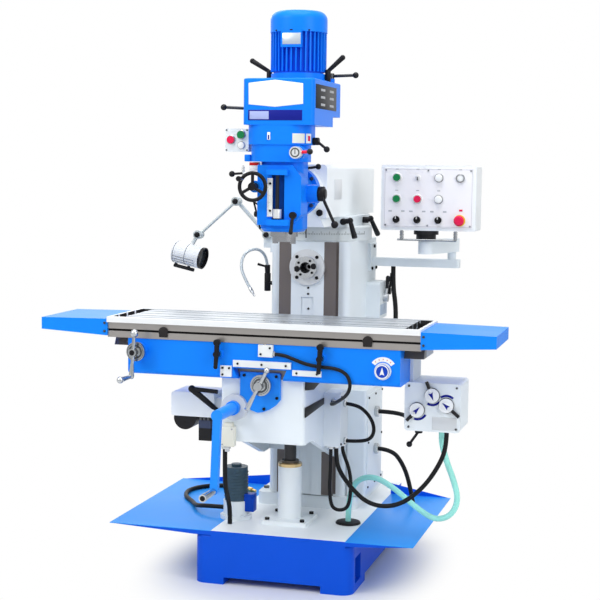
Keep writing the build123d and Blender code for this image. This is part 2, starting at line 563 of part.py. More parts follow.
# Knee clamp lever on the left wall.
CLAMP_BEND = (-282, -640, 762)
CLAMP_TIP = (-182, -640, 756)
CLAMP_ROD_R = 8
clamp = rod(moved(CLAMP_PIVOT, INTO_LEFT, SLIDE_GAP), moved(CLAMP_PIVOT, INTO_LEFT, 34), 18)
clamp += rod(moved(CLAMP_PIVOT, INTO_LEFT, 20), CLAMP_BEND, CLAMP_ROD_R)
clamp += ball(CLAMP_BEND, CLAMP_ROD_R + 2)
clamp += rod(CLAMP_BEND, CLAMP_TIP, CLAMP_ROD_R)
save("knee_clamp_lever", clamp + pin(CLAMP_PIVOT, INTO_RIGHT))

# Saddle: the cross dovetail runs under it and the table's dovetail along its top.
SADDLE_BOTTOM = KNEE_TOP + SLIDE_GAP
TABLE_DOVE_WIDE = 95
TABLE_DOVE_NARROW = 75
TABLE_DOVE_DEEP = 36
TABLE_BOTTOM = SADDLE_TOP + SLIDE_GAP
TABLE_MID_Y = (TABLE_Y[0] + TABLE_Y[1]) / 2
TABLE_CRANK_AXIS = (-458, 906)
TABLE_CRANK_FACE_Y = SADDLE_Y[0] - 34
LOCK_FACE_Y = SADDLE_Y[0] - 10
LOCK_PLACES = {"table_lock_left": -155, "table_lock_right": 228}
LOCK_Z = 908
SELECTOR_AXIS = (452, 874)
cross_groove = across(dovetail(CROSS_WIDE, CROSS_NARROW, CROSS_TOP + SLIDE_GAP, KNEE_TOP - CUT, 0.4),
                      (SADDLE_Y[0] - 20, SADDLE_Y[1] + CUT))
dove_bottom = TABLE_BOTTOM - TABLE_DOVE_DEEP
table_groove = lengthwise([(TABLE_MID_Y + u, v) for u, v in
                           dovetail(TABLE_DOVE_WIDE, TABLE_DOVE_NARROW, dove_bottom - SLIDE_GAP,
                                    SADDLE_TOP + CUT, 0.4)], (SADDLE_X[0] - CUT, SADDLE_X[1] + CUT))
saddle = box(SADDLE_X, SADDLE_Y, (SADDLE_BOTTOM, SADDLE_TOP))
saddle = fillet(saddle.edges().filter_by(Axis.X).group_by(Axis.Z)[0], 16)
saddle -= cross_groove
saddle -= table_groove
table_crank_face = (TABLE_CRANK_AXIS[0], TABLE_CRANK_FACE_Y, TABLE_CRANK_AXIS[1])
saddle += rod((TABLE_CRANK_AXIS[0], SADDLE_Y[0] + 1, TABLE_CRANK_AXIS[1]), table_crank_face, 28)
saddle -= pin_hole(table_crank_face, INTO_BACK)
for x in LOCK_PLACES.values():
    saddle += rod((x, SADDLE_Y[0] + 1, LOCK_Z), (x, LOCK_FACE_Y, LOCK_Z), 16)
    saddle -= pin_hole((x, LOCK_FACE_Y, LOCK_Z), INTO_BACK)
selector_face = (SELECTOR_AXIS[0], SADDLE_Y[0], SELECTOR_AXIS[1])
saddle -= pin_hole(selector_face, INTO_BACK)
save("saddle", saddle)

# Gib and wiper plates on the saddle's front, and the table's limit switch.
WIPER_T = 8
WIPER_PLATES = (((-146, -104), (826, 866)), ((-98, 118), (864, 888)), ((124, 230), (842, 862)))
wipers = [box(x, (SADDLE_Y[0] - WIPER_T, SADDLE_Y[0]), z) for x, z in WIPER_PLATES]
SWITCH_X = (-2, 52)
SWITCH_Z = (905, 948)
saddle_switch = box(SWITCH_X, (SADDLE_Y[0] - 14, SADDLE_Y[0]), SWITCH_Z)
save("saddle_wipers", *wipers, saddle_switch)

# Table lock levers, table crank and feed selector on the saddle's front.
for node, x in LOCK_PLACES.items():
    face = (x, LOCK_FACE_Y, LOCK_Z)
    lock = rod(moved(face, OUT_FRONT, SLIDE_GAP), moved(face, OUT_FRONT, 24), 11)
    high = (x + 3, face[1] - 16, LOCK_Z + 46)
    low = (x - 3, face[1] - 16, LOCK_Z - 46)
    lock += rod(low, high, 6) + ball(low, 8) + ball(high, 8)
    save(node, lock + pin(face, INTO_BACK))
save("table_crank", ball_crank(table_crank_face, 35, 4, 70, 88))
feed_selector = rod(moved(selector_face, OUT_FRONT, SLIDE_GAP), moved(selector_face, OUT_FRONT, 8), 30)
feed_selector += rod(moved(selector_face, OUT_FRONT, 7), moved(selector_face, OUT_FRONT, 18), 25)
save("feed_selector", feed_selector + pin(selector_face, INTO_BACK))

# Feed gearbox on a bracket plate at the saddle's right end, with three speed dials.
GEARBOX_X = (SADDLE_X[1] - 14, 702)
GEARBOX_Y = (-550, -365)
GEARBOX_Z = (640, SADDLE_BOTTOM - 2)
DIALS = {
    "gearbox_dial_upper": ((600, 772), (-21, 50)),
    "gearbox_dial_left": ((546, 717), (-36, -39)),
    "gearbox_dial_right": ((652, 739), (47, -39)),
}
DIAL_R = 26
DIAL_GRIP_R = 6.5
DIAL_GRIP_OUT = 9
gearbox = box(GEARBOX_X, GEARBOX_Y, GEARBOX_Z)
gearbox = fillet(gearbox.edges().filter_by(Axis.Y), 12)
gearbox += box((SADDLE_X[1], SADDLE_X[1] + 12), (GEARBOX_Y[0] + 20, SADDLE_Y[1] + 20), (690, 905))
for (x, z), handle in DIALS.values():
    gearbox -= pin_hole((x, GEARBOX_Y[0], z), INTO_BACK)
save("feed_gearbox", gearbox)
for node, ((x, z), handle) in DIALS.items():
    face = (x, GEARBOX_Y[0], z)
    grip_from = (x + 0.3 * handle[0], face[1] - DIAL_GRIP_OUT, z + 0.3 * handle[1])
    grip_to = (x + handle[0], face[1] - DIAL_GRIP_OUT, z + handle[1])
    dial = rod(moved(face, OUT_FRONT, SLIDE_GAP), moved(face, OUT_FRONT, 12), DIAL_R)
    dial += rod(moved(face, OUT_FRONT, 11), moved(face, OUT_FRONT, 16), 11)
    dial += rod(grip_from, grip_to, DIAL_GRIP_R)
    save(node, dial + pin(face, INTO_BACK))

# Table: three T-slots along its length, coolant gutters, end pockets and the dovetail below.
SLOT_PITCH = 80
SLOT_NECK = 14
SLOT_NECK_DEEP = 14
SLOT_FOOT = 24
SLOT_DEEP = 24
GUTTER_W = 18
GUTTER_DEEP = 10
GUTTER_IN = 20
TROUGH_W = 48
TROUGH_DEEP = 26
RIM_T = 20
RIM_OUT = 12
DOG_SLOT_Z = (974, 982)
whole_length = (-TABLE_HALF_X - CUT, TABLE_HALF_X + CUT)
table = box((-TABLE_HALF_X, TABLE_HALF_X), TABLE_Y, (TABLE_BOTTOM, TABLE_TOP))
table += lengthwise([(TABLE_MID_Y + u, v) for u, v in
                     dovetail(TABLE_DOVE_WIDE, TABLE_DOVE_NARROW, dove_bottom, TABLE_BOTTOM + 1)],
                    (-TABLE_HALF_X, TABLE_HALF_X))
for slot in (-1, 0, 1):
    y = TABLE_MID_Y + slot * SLOT_PITCH
    table -= box(whole_length, (y - SLOT_NECK / 2, y + SLOT_NECK / 2),
                 (TABLE_TOP - SLOT_DEEP, TABLE_TOP + CUT))
    table -= box(whole_length, (y - SLOT_FOOT / 2, y + SLOT_FOOT / 2),
                 (TABLE_TOP - SLOT_DEEP, TABLE_TOP - SLOT_NECK_DEEP))
gutter_z = (TABLE_TOP - GUTTER_DEEP, TABLE_TOP + CUT)
gutter_x = (-TABLE_HALF_X + 12, TABLE_HALF_X - 12)
for edge in (TABLE_Y[0] + GUTTER_IN, TABLE_Y[1] - GUTTER_IN - GUTTER_W):
    table -= box(gutter_x, (edge, edge + GUTTER_W), gutter_z)
for x in ((gutter_x[0], gutter_x[0] + TROUGH_W), (gutter_x[1] - TROUGH_W, gutter_x[1])):
    table -= box(x, (TABLE_Y[0] + GUTTER_IN, TABLE_Y[1] - GUTTER_IN),
                 (TABLE_TOP - TROUGH_DEEP, TABLE_TOP + CUT))
apron_y = TABLE_Y[0] + RIM_OUT
table -= box(whole_length, (TABLE_Y[0] - CUT, apron_y), (TABLE_BOTTOM - CUT, TABLE_TOP - RIM_T))
table -= box(whole_length, (TABLE_Y[1] - RIM_OUT, TABLE_Y[1] + CUT),
             (TABLE_BOTTOM - CUT, TABLE_TOP - RIM_T))
table -= box(whole_length, (apron_y - CUT, apron_y + 12), DOG_SLOT_Z)
save("table", table)

# Table wings: folded covers on the table's ends, open below, slightly lower at the outer end.
WING_LONG = 263
WING_TOP = 1018
WING_INNER_DEEP = 62
WING_OUTER_DEEP = 48
WING_Y = (-720, -400)


def table_wing(side):
    inner = side * TABLE_HALF_X
    outer = side * (TABLE_HALF_X + WING_LONG)
    shell = [(inner, WING_TOP), (outer, WING_TOP - 4), (outer, WING_TOP - WING_OUTER_DEEP),
             (inner, WING_TOP - WING_INNER_DEEP)]
    hollow = [(inner + side * SHEET, WING_TOP - SHEET), (outer - side * SHEET, WING_TOP - 4 - SHEET),
              (outer - side * SHEET, WING_TOP - WING_INNER_DEEP - CUT),
              (inner + side * SHEET, WING_TOP - WING_INNER_DEEP - CUT)]
    return across(shell, WING_Y) - across(hollow, (WING_Y[0] + SHEET, WING_Y[1] - SHEET))


save("table_wings", table_wing(-1), table_wing(1))

# Turret: a graduated ring on the column with the ram's dovetail seat on top.
RING_R = 195
RING_TOP = 1345
SEAT_FLOOR = 1350
RAM_DOVE_WIDE = 102
RAM_DOVE_NARROW = 84
turret = rod((0, TURRET_Y, COLUMN_TOP + SLIDE_GAP), (0, TURRET_Y, RING_TOP), RING_R)
turret = fillet(turret.edges().group_by(Axis.Z)[-1], 8)
turret += rod((0, TURRET_Y, COLUMN_TOP + 1), (0, TURRET_Y, COLUMN_TOP - SPIGOT_LONG), SPIGOT_R)
turret += box((-150, 150), (TURRET_Y - 200, TURRET_Y + 200), (RING_TOP - 6, TURRET_TOP), 20)
turret -= across(dovetail(RAM_DOVE_WIDE, RAM_DOVE_NARROW, SEAT_FLOOR, TURRET_TOP + CUT, 0.4),
                 (TURRET_Y - 210, TURRET_Y + 210))
save("turret", turret)

# Ram: a long casting with its dovetail below and a round face for the head at the front.
RAM_Y = (-207, 626)
RAM_BOTTOM = TURRET_TOP + SLIDE_GAP
RAM_NOSE_Y = -250
RAM_NOSE_R = 97
HEAD_SPIGOT_R = 40
ram = box((-RAM_HALF_X, RAM_HALF_X), RAM_Y, (RAM_BOTTOM, RAM_TOP))
ram = fillet(ram.edges().filter_by(Axis.Y).group_by(Axis.Z)[-1], 18)
ram += across(dovetail(RAM_DOVE_WIDE, RAM_DOVE_NARROW, SEAT_FLOOR + SLIDE_GAP, RAM_BOTTOM + 1), RAM_Y)
ram += rod((0, RAM_Y[0] + 1, HEAD_AXIS_Z), (0, RAM_NOSE_Y, HEAD_AXIS_Z), RAM_NOSE_R)
ram -= rod((0, RAM_NOSE_Y - CUT, HEAD_AXIS_Z), (0, RAM_NOSE_Y + 42, HEAD_AXIS_Z), HEAD_SPIGOT_R + RUN_GAP)
save("ram", ram)

# Head casting: a swivel flange, a neck and the quill housing, with a pad, depth rod, stop nut and scale.
HEAD_TOP = 1600
HEAD_BOTTOM = 1341
HEAD_FRONT_Y = -500
HOUSING_X = (-84, 80)
HOUSING_Y = (-488, -330)
HOUSING_CORNER = 55
HEAD_NECK_R = 80
HEAD_FLANGE_T = 42
PAD_X = (-80, 88)
PAD_Z = (1366, 1588)
PAD_CORNER = (34, 42)
HANDWHEEL_FACE = (-87, -512, 1508)
QUILL_LEVER_FACE = (128, -398, 1483)
LOCK_LEVER_FACE = (62, -508, 1405)
ROD_Y = -508
ROD_R = 7
STOP_NUT_R = 16
DEPTH_SLOT_HALF = 24
DEPTH_SLOT_DEEP = 22
DEPTH_SLOT_Z = (1388, 1556)
BAR_FRONT_Y = -520
BAR_HALF = 40
UPPER_BAR_Z = (1552, 1572)
LOWER_BAR_Z = (1366, 1388)
SCALE_X = (-40, -20)
housing_mid = Pos((HOUSING_X[0] + HOUSING_X[1]) / 2, (HOUSING_Y[0] + HOUSING_Y[1]) / 2, HEAD_BOTTOM)
housing = housing_mid * RectangleRounded(HOUSING_X[1] - HOUSING_X[0], HOUSING_Y[1] - HOUSING_Y[0],
                                         HOUSING_CORNER)
head = extrude(housing, HEAD_TOP - HEAD_BOTTOM)
head = chamfer(head.edges().group_by(Axis.Z)[0], 12)
pad_in = PAD_X[1] - PAD_CORNER[0]
head += across([(PAD_X[0], PAD_Z[0]), (pad_in, PAD_Z[0]), (PAD_X[1], PAD_Z[0] + PAD_CORNER[1]),
                (PAD_X[1], PAD_Z[1] - PAD_CORNER[1]), (pad_in, PAD_Z[1]), (PAD_X[0], PAD_Z[1])],
               (HEAD_FRONT_Y, QUILL_Y))
flange_front = RAM_NOSE_Y - HEAD_FLANGE_T
head += rod((0, HOUSING_Y[1] - 30, HEAD_AXIS_Z), (0, flange_front + 4, HEAD_AXIS_Z), HEAD_NECK_R)
head += rod((0, flange_front, HEAD_AXIS_Z), (0, RAM_NOSE_Y - SLIDE_GAP, HEAD_AXIS_Z), RAM_NOSE_R)
head += rod((0, RAM_NOSE_Y - 1, HEAD_AXIS_Z), (0, RAM_NOSE_Y + 40, HEAD_AXIS_Z), HEAD_SPIGOT_R)
head -= box((-DEPTH_SLOT_HALF, DEPTH_SLOT_HALF), (HEAD_FRONT_Y - CUT, HEAD_FRONT_Y + DEPTH_SLOT_DEEP),
            DEPTH_SLOT_Z)
head += box((-BAR_HALF, BAR_HALF), (BAR_FRONT_Y, HEAD_FRONT_Y + 10), UPPER_BAR_Z)
head += box((-BAR_HALF, BAR_HALF + 12), (BAR_FRONT_Y, HEAD_FRONT_Y + 15), LOWER_BAR_Z)
head += rod((0, ROD_Y, LOWER_BAR_Z[1] - 8), (0, ROD_Y, UPPER_BAR_Z[0] + 8), ROD_R)
head += rod((0, ROD_Y, LOWER_BAR_Z[1] + 5), (0, ROD_Y, LOWER_BAR_Z[1] + 38), STOP_NUT_R)
head += box(SCALE_X, (HEAD_FRONT_Y - 5, HEAD_FRONT_Y + 8), (LOWER_BAR_Z[1] + 10, UPPER_BAR_Z[0] - 12))
head += rod((HANDWHEEL_FACE[0], QUILL_Y, HANDWHEEL_FACE[2]), HANDWHEEL_FACE, 22)
head += rod((60, *QUILL_LEVER_FACE[1:]), QUILL_LEVER_FACE, 34)
head += rod((LOCK_LEVER_FACE[0], -480, LOCK_LEVER_FACE[2]), LOCK_LEVER_FACE, 14)
head -= rod((0, QUILL_Y, HEAD_BOTTOM - CUT), (0, QUILL_Y, HEAD_TOP + CUT), QUILL_R + RUN_GAP)
head -= pin_hole(HANDWHEEL_FACE, INTO_BACK)
head -= pin_hole(QUILL_LEVER_FACE, INTO_LEFT)
head -= pin_hole(LOCK_LEVER_FACE, INTO_BACK)
save("head_casting", head)

# Gear head on the quill housing: a lower and a slightly larger upper storey.
GEAR_STEP = 1663
GEAR_TOP = 1735
GEAR_CORNER = 70
LOWER_X = (-120, 100)
LOWER_Y = (-510, -348)
UPPER_X = (-130, 112)
UPPER_Y = (-515, -338)
DIAL_FACE = (79, -522, 1634)


def storey(x, y, z):
    """An upright block with well rounded corners."""
    middle = Pos((x[0] + x[1]) / 2, (y[0] + y[1]) / 2, z[0])
    outline = middle * RectangleRounded(x[1] - x[0], y[1] - y[0], GEAR_CORNER)
    return extrude(outline, z[1] - z[0])


gear_head = storey(LOWER_X, LOWER_Y, (HEAD_TOP, GEAR_STEP))
gear_head += storey(UPPER_X, UPPER_Y, (GEAR_STEP, GEAR_TOP))
gear_head += rod((DIAL_FACE[0], -450, DIAL_FACE[2]), DIAL_FACE, 26)
gear_head -= pin_hole(DIAL_FACE, INTO_BACK)
gear_head -= rod((0, QUILL_Y, HEAD_TOP - CUT), (0, QUILL_Y, HEAD_TOP + 20), QUILL_R)
save("gear_head", gear_head)

# Belt housing: longer than the gear head, and stepped up over the ram.
BELT_HALF_X = 136
BELT_Y = (-516, -100)
BELT_TOP = 1905
GEAR_LEVER_FACE = (-150, -370, 1800)
BRAKE_FACE = (108, -160, 1922)
belt = box((-BELT_HALF_X, BELT_HALF_X), BELT_Y, (GEAR_TOP, BELT_TOP), 20)
belt = fillet(belt.edges().group_by(Axis.Z)[-1], 6)
belt -= box((-BELT_HALF_X - CUT, BELT_HALF_X + CUT), (-230, BELT_Y[1] + CUT), (GEAR_TOP - CUT, 1775))
belt += rod((-BELT_HALF_X + 4, *GEAR_LEVER_FACE[1:]), GEAR_LEVER_FACE, 15)
belt += rod((*BRAKE_FACE[:2], BELT_TOP - 4), BRAKE_FACE, 15)
belt -= pin_hole(GEAR_LEVER_FACE, INTO_RIGHT)
belt -= pin_hole(BRAKE_FACE, INTO_DOWN)
save("belt_housing", belt)

# Motor: a foot flange, a finned frame and a domed cowl.
MOTOR_FRAME_R = 95
MOTOR_FIN_R = 107
MOTOR_FRAME_TOP = 2090
MOTOR_TOP = 2172
FIN_COUNT = 36
motor = rod((0, MOTOR_Y, BELT_TOP), (0, MOTOR_Y, BELT_TOP + 30), 105)
motor += rod((0, MOTOR_Y, BELT_TOP), (0, MOTOR_Y, MOTOR_FRAME_TOP + 4), MOTOR_FRAME_R)
fin = box((MOTOR_FRAME_R - 4, MOTOR_FIN_R), (-2, 2), (BELT_TOP + 38, MOTOR_FRAME_TOP + 1))
fins = [Pos(0, MOTOR_Y, 0) * Rot(0, 0, i * 360 / FIN_COUNT) * fin for i in range(FIN_COUNT)]
motor += fins
cowl = rod((0, MOTOR_Y, MOTOR_FRAME_TOP), (0, MOTOR_Y, MOTOR_TOP), 109)
motor += fillet(cowl.edges().group_by(Axis.Z)[-1], 34)
motor += box((-40, 40), (MOTOR_Y - 112, MOTOR_Y - 90), (2030, MOTOR_FRAME_TOP + 1))
save("motor", motor)

# Quill and the vertical spindle inside it.
QUILL_BOTTOM = 1322
QUILL_TOP = 1562
VERTICAL_NOSE_Z = 1303
VERTICAL_R = 30
VERTICAL_TOP = 1585
quill = rod((0, QUILL_Y, QUILL_BOTTOM), (0, QUILL_Y, QUILL_TOP), QUILL_R)
quill -= rod((0, QUILL_Y, QUILL_BOTTOM - CUT), (0, QUILL_Y, QUILL_TOP + CUT), VERTICAL_R + RUN_GAP)
save("quill", quill)
vertical = rod((0, QUILL_Y, VERTICAL_NOSE_Z), (0, QUILL_Y, QUILL_BOTTOM - 0.5), NOSE_R)
vertical += rod((0, QUILL_Y, QUILL_BOTTOM - 1), (0, QUILL_Y, VERTICAL_TOP), VERTICAL_R)
vertical -= rod((0, QUILL_Y, VERTICAL_NOSE_Z - 0.01), (0, QUILL_Y, VERTICAL_NOSE_Z + TAPER_DEEP),
                TAPER_MOUTH_R, TAPER_END_R)
vertical -= rod((0, QUILL_Y, VERTICAL_NOSE_Z), (0, QUILL_Y, VERTICAL_TOP + CUT), DRAW_BAR_R)
for side in (-1, 1):
    x = side * (NOSE_R - 10)
    vertical += box((x - 9, x + 9), (QUILL_Y - 8, QUILL_Y + 8), (VERTICAL_NOSE_Z - 8, VERTICAL_NOSE_Z + 1))
save("vertical_spindle", vertical)

# Levers and handwheel of the head.
save("quill_lever", ball_lever(QUILL_LEVER_FACE, INTO_LEFT, (188, -385, 1369), 28, 6, 14))
WHEEL_R = 50
WHEEL_RIM = 7
wheel_y = HANDWHEEL_FACE[1] - 26
wheel_mid = (HANDWHEEL_FACE[0], wheel_y, HANDWHEEL_FACE[2])
handwheel = Plane(origin=wheel_mid, z_dir=OUT_FRONT) * Torus(WHEEL_R, WHEEL_RIM)
handwheel += rod(moved(HANDWHEEL_FACE, OUT_FRONT, SLIDE_GAP), moved(HANDWHEEL_FACE, OUT_FRONT, 36), 15)
for turn in (90, 210, 330):
    reach = (math.cos(math.radians(turn)), 0, math.sin(math.radians(turn)))
    handwheel += rod(wheel_mid, moved(wheel_mid, reach, WHEEL_R), 6)
knob_at = moved(wheel_mid, (-0.82, 0, 0.57), WHEEL_R)
handwheel += rod(knob_at, moved(knob_at, OUT_FRONT, 42), 7, 10)
save("handwheel", handwheel + pin(HANDWHEEL_FACE, INTO_BACK))
save("gear_lever", ball_lever(GEAR_LEVER_FACE, INTO_RIGHT, (-245, -405, 1803), 13, 6, 12))
save("brake_lever", ball_lever(BRAKE_FACE, INTO_DOWN, (206, -160, 1936), 13, 6, 12))
save("feed_dial_lever", ball_lever(DIAL_FACE, INTO_BACK, (132, -545, 1638), 22, 6, 11))
save("quill_lock_lever", grip_lever(LOCK_LEVER_FACE, INTO_BACK, (58, -528, 1342), 13, 6, 8, 0.5))

# Button box on the gear head's left side.
STATION_X = (-222, UPPER_X[0])
STATION_Y = (-455, -405)
STATION_Z = (1636, 1722)
station = box(STATION_X, STATION_Y, STATION_Z)
station = fillet(station.edges().filter_by(Axis.Y), 6)
for node, x, z in (("head_red_button", -198, 1680), ("head_green_button", -158, 1699)):
    station -= stem_hole(x, z, STATION_Y[0])
    save(node, button(x, z, STATION_Y[0]))
save("button_box", station)

# Hoses and cables. The drain and tray hoses, the coolant pipe and the cabinet's cables stay with the frame.
drain_hose = cord("drain hose", [
    (*DRAIN_XY, DECK_TOP + 8), (*DRAIN_XY, 305), (262, -277, 384), (340, -308, 410), (424, -334, 374),
    (504, -356, 318), (576, -376, 282), (621, -388, 284), (661, -400, 305), (689, -412, 341),
    (698.5, -424, 385), (684, -440, 450), (658, -454, 512), (634, -466, 572), (624, -470, 604),
    (624, -470, GEARBOX_Z[0])], 22)
cabinet_low = cord("cabinet cable, low", [
    (CABINET_X[1] + GLAND_OUT, GLAND_Y, GLAND_Z[0]), (350, GLAND_Y, GLAND_Z[0]), (402, 142, 366),
    (402, 160, 290), (402, 160, DECK_TOP)], 18)
cabinet_high = cord("cabinet cable, high", [
    (CABINET_X[1] + GLAND_OUT, GLAND_Y, GLAND_Z[1]), (340, GLAND_Y, GLAND_Z[1]), (410, 40, 578),
    (476, -60, 585), (550, -150, 630), (606, -240, 685), (606, GEARBOX_Y[1], 685)], 18)
arm_conduit = cord("arm conduit", [
    (262, 350, ARM_Z[0]), (262, 350, 1085), (282, 318, 1005), (290, 284, 925), (276, 252, 850),
    (248, 230, 790), (230, 219, 748), (224, 215, 720), (224, 215, CABINET_Z[1])], 20)
tray_hose = cord("tray hose", [
    (PUMP_XY[0] - 50.5, PUMP_XY[1], 242), (-340, PUMP_XY[1], 242), (-405, -245, 224), (-450, -150, 214),
    (-520, -60, 214), (-545, 60, 214), (-480, 160, 214), (-370, 180, 214), (-290, 130, 214)], 18)
COCK_X = -COLUMN_HALF_X - 21
coolant_pipe = cord("coolant pipe", [
    (COCK_X, -5, 1150), (COCK_X, -5, 1210), (-214, -44, 1254), (-258, -82, 1240), (-272, -104, 1186),
    (-246, -120, 1130), (-214, -132, 1086)], 12)
cock = rod((COCK_X, -5, 1077), (COCK_X, -5, 1150), 13)
cock += rod((COCK_X - 4, -5, 1110), (-COLUMN_HALF_X, -5, 1110), 8)
save("frame_hoses", drain_hose, cabinet_low, cabinet_high, arm_conduit, tray_hose, coolant_pipe, cock)

# Cables of the knee: two loops at its junction box, and the limit switch's hose down to the deck.
long_loop = cord("long loop", [
    (186, -385, JUNCTION_Z[0]), (186, -385, 440), (180, -378, 370), (185, -368, 298), (204.3, -360, 279),
    (231.7, -350, 279), (251, -344, 298), (256, -334, 376), (244, -324, 436), (222, -316, 482),
    (214, -314, 506), (214, -314, JUNCTION_Z[0])], 14)
small_loop = cord("small loop", [
    (JUNCTION_X, -350, 690), (274, -350, 690), (322, -348, 655), (346, -346, 606), (336, -343, 562),
    (292, -340, 545), (JUNCTION_X, -340, 545)], 14)
switch_hose = cord("switch hose", [
    (-186, -536, 535), (-186, -536, 450), (-196, -500, 370), (-204, -440, 310), (-206, -410, 262),
    (-206, -410, DECK_TOP)], 18)
save("knee_cables", long_loop, small_loop, switch_hose)

# Cables of the saddle: along its front to the knee's junction box, and from the gearbox.
front_run_y = SADDLE_Y[0] - 7.5
saddle_cable = cord("saddle cable", [
    (SWITCH_X[1], front_run_y, 916), (88, front_run_y, 916), (132, front_run_y, 900), (180, front_run_y, 884),
    (236, front_run_y, 878), (286, front_run_y, 876), (324, front_run_y, 858), (338, front_run_y - 2, 824),
    (331, -715, 793), (304, -678, 766), (262, -600, 738), (226, -520, 714), (200, -455, 703),
    (200, JUNCTION_Y[0], 703)], 13)
gearbox_cable = cord("gearbox cable", [
    (648, -510, GEARBOX_Z[0]), (648, -510, 575), (616, -490, 500), (563, -474, 420), (489, -456, 352),
    (414, -440, 324), (338, -425, 332), (276, -410, 378), (222, -380, 430), (202, -366, 475),
    (202, -366, JUNCTION_Z[0])], 17)
save("saddle_cables", saddle_cable, gearbox_cable)
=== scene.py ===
import math
import bmesh
import bpy
from mathutils import Matrix, Vector


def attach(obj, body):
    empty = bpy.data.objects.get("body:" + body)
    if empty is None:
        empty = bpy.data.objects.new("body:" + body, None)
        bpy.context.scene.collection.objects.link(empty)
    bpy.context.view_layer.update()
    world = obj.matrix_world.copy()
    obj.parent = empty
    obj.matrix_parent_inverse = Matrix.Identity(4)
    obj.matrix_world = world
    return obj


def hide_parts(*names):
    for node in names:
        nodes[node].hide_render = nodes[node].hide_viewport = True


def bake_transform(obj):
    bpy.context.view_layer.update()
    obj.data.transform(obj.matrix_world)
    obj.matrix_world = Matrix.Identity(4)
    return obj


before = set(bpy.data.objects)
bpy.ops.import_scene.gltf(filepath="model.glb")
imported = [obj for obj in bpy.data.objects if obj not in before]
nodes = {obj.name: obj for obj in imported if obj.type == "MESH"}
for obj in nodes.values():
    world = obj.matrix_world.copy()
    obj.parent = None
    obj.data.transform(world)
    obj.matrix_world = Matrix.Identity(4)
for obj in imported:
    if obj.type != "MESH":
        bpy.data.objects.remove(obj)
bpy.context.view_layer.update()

studio = bpy.context.scene

# The studio: a pale floor that fades out of sight under a plain white surround, with soft lamps.
# The camera stands to the right of the machine, at the height of the ram, and looks a little down.
eye = Vector((1.485, -5.547, 1.585))
turn, dip, roll = (math.radians(angle) for angle in (15.46, 5.37, 0.72))
ahead = Vector((-math.sin(turn) * math.cos(dip), math.cos(turn) * math.cos(dip), -math.sin(dip)))
level = Vector((math.cos(turn), math.sin(turn), 0))
above = level.cross(ahead)
side = level * math.cos(roll) + above * math.sin(roll)
top = above * math.cos(roll) - level * math.sin(roll)
camera = bpy.data.objects.new("camera", bpy.data.cameras.new("camera"))
camera.data.lens = 85.41
camera.data.sensor_width = 36
camera.matrix_world = Matrix.Translation(eye) @ Matrix((side, top, -ahead)).transposed().to_4x4()
studio.collection.objects.link(camera)
studio.camera = camera
studio.view_settings.view_transform = "Standard"


def plug(tree, socket, value):
    """Feed a socket from another one, or with a fixed value."""
    if isinstance(value, bpy.types.NodeSocket):
        tree.links.new(value, socket)
    else:
        socket.default_value = value


def shade(tree, kind, inputs=(), out=0, **settings):
    """Add a shader node with its settings, feed its inputs and return one of its outputs."""
    node = tree.nodes.new("ShaderNode" + kind)
    for setting, value in settings.items():
        setattr(node, setting, value)
    for number, value in dict(inputs).items():
        plug(tree, node.inputs[number], value)
    return node.outputs[out] if node.outputs else None


world = bpy.data.worlds.new("surround")
world.use_nodes = True
studio.world = world
sky = world.node_tree
sky.nodes.clear()
seen = shade(sky, "LightPath", out="Is Camera Ray")
for ray in ("Is Glossy Ray", "Is Transmission Ray"):
    seen = shade(sky, "Math", {0: seen, 1: shade(sky, "LightPath", out=ray)}, operation="MAXIMUM")
pale = shade(sky, "Background", {"Color": (1, 1, 1, 1), "Strength": 1.0})
soft = shade(sky, "Background", {"Color": (0.95, 0.98, 1.0, 1), "Strength": 0.50})
shade(sky, "OutputWorld", {0: shade(sky, "MixShader", {0: seen, 1: soft, 2: pale})})


def soft_lamp(name, place, aim, size, watts):
    lamp = bpy.data.objects.new(name, bpy.data.lights.new(name, "AREA"))
    lamp.data.size = size
    lamp.data.energy = watts
    lamp.location = place
    lamp.rotation_euler = (Vector(aim) - Vector(place)).to_track_quat("-Z", "Y").to_euler()
    studio.collection.objects.link(lamp)


soft_lamp("key_lamp", (-3.2, -4.6, 4.2), (0, -0.3, 1.0), 2.6, 140)
soft_lamp("right_lamp", (4.4, -2.8, 3.0), (0, 0, 1.0), 2.6, 95)
soft_lamp("top_lamp", (0.2, -1.2, 5.6), (0, -0.2, 0.2), 3.4, 185)
soft_lamp("back_lamp", (-2.2, 3.8, 4.0), (0, 0, 1.0), 3.0, 70)

floor_form = bmesh.new()
bmesh.ops.create_grid(floor_form, x_segments=1, y_segments=1, size=40)
floor_mesh = bpy.data.meshes.new("floor")
floor_form.to_mesh(floor_mesh)
floor_form.free()
floor = bpy.data.objects.new("floor", floor_mesh)
floor_finish = bpy.data.materials.new("floor_pale")
floor_finish.use_nodes = True
ground = floor_finish.node_tree
floor_paint = ground.nodes["Principled BSDF"]
floor_paint.inputs["Base Color"].default_value = (0.74, 0.75, 0.76, 1)
floor_paint.inputs["Roughness"].default_value = 0.8
spread = shade(ground, "Mapping", {"Vector": shade(ground, "TexCoord", out="Object"),
                                   "Location": (0, 0.07, 0), "Scale": (1, 0.6, 1)})
reach = shade(ground, "VectorMath", {0: spread}, out="Value", operation="LENGTH")
fade = shade(ground, "MapRange", {"Value": reach, "From Min": 0.34, "From Max": 0.64},
             interpolation_type="SMOOTHSTEP")
looked_at = shade(ground, "Math", {0: fade, 1: shade(ground, "LightPath", out="Is Camera Ray")},
                  operation="MULTIPLY")
glow = shade(ground, "Emission", {"Strength": 1.0})
blank = shade(ground, "MixShader", {0: looked_at, 1: floor_paint.outputs[0], 2: glow})
plug(ground, ground.nodes["Material Output"].inputs[0], blank)
floor_mesh.materials.append(floor_finish)
studio.collection.objects.link(floor)


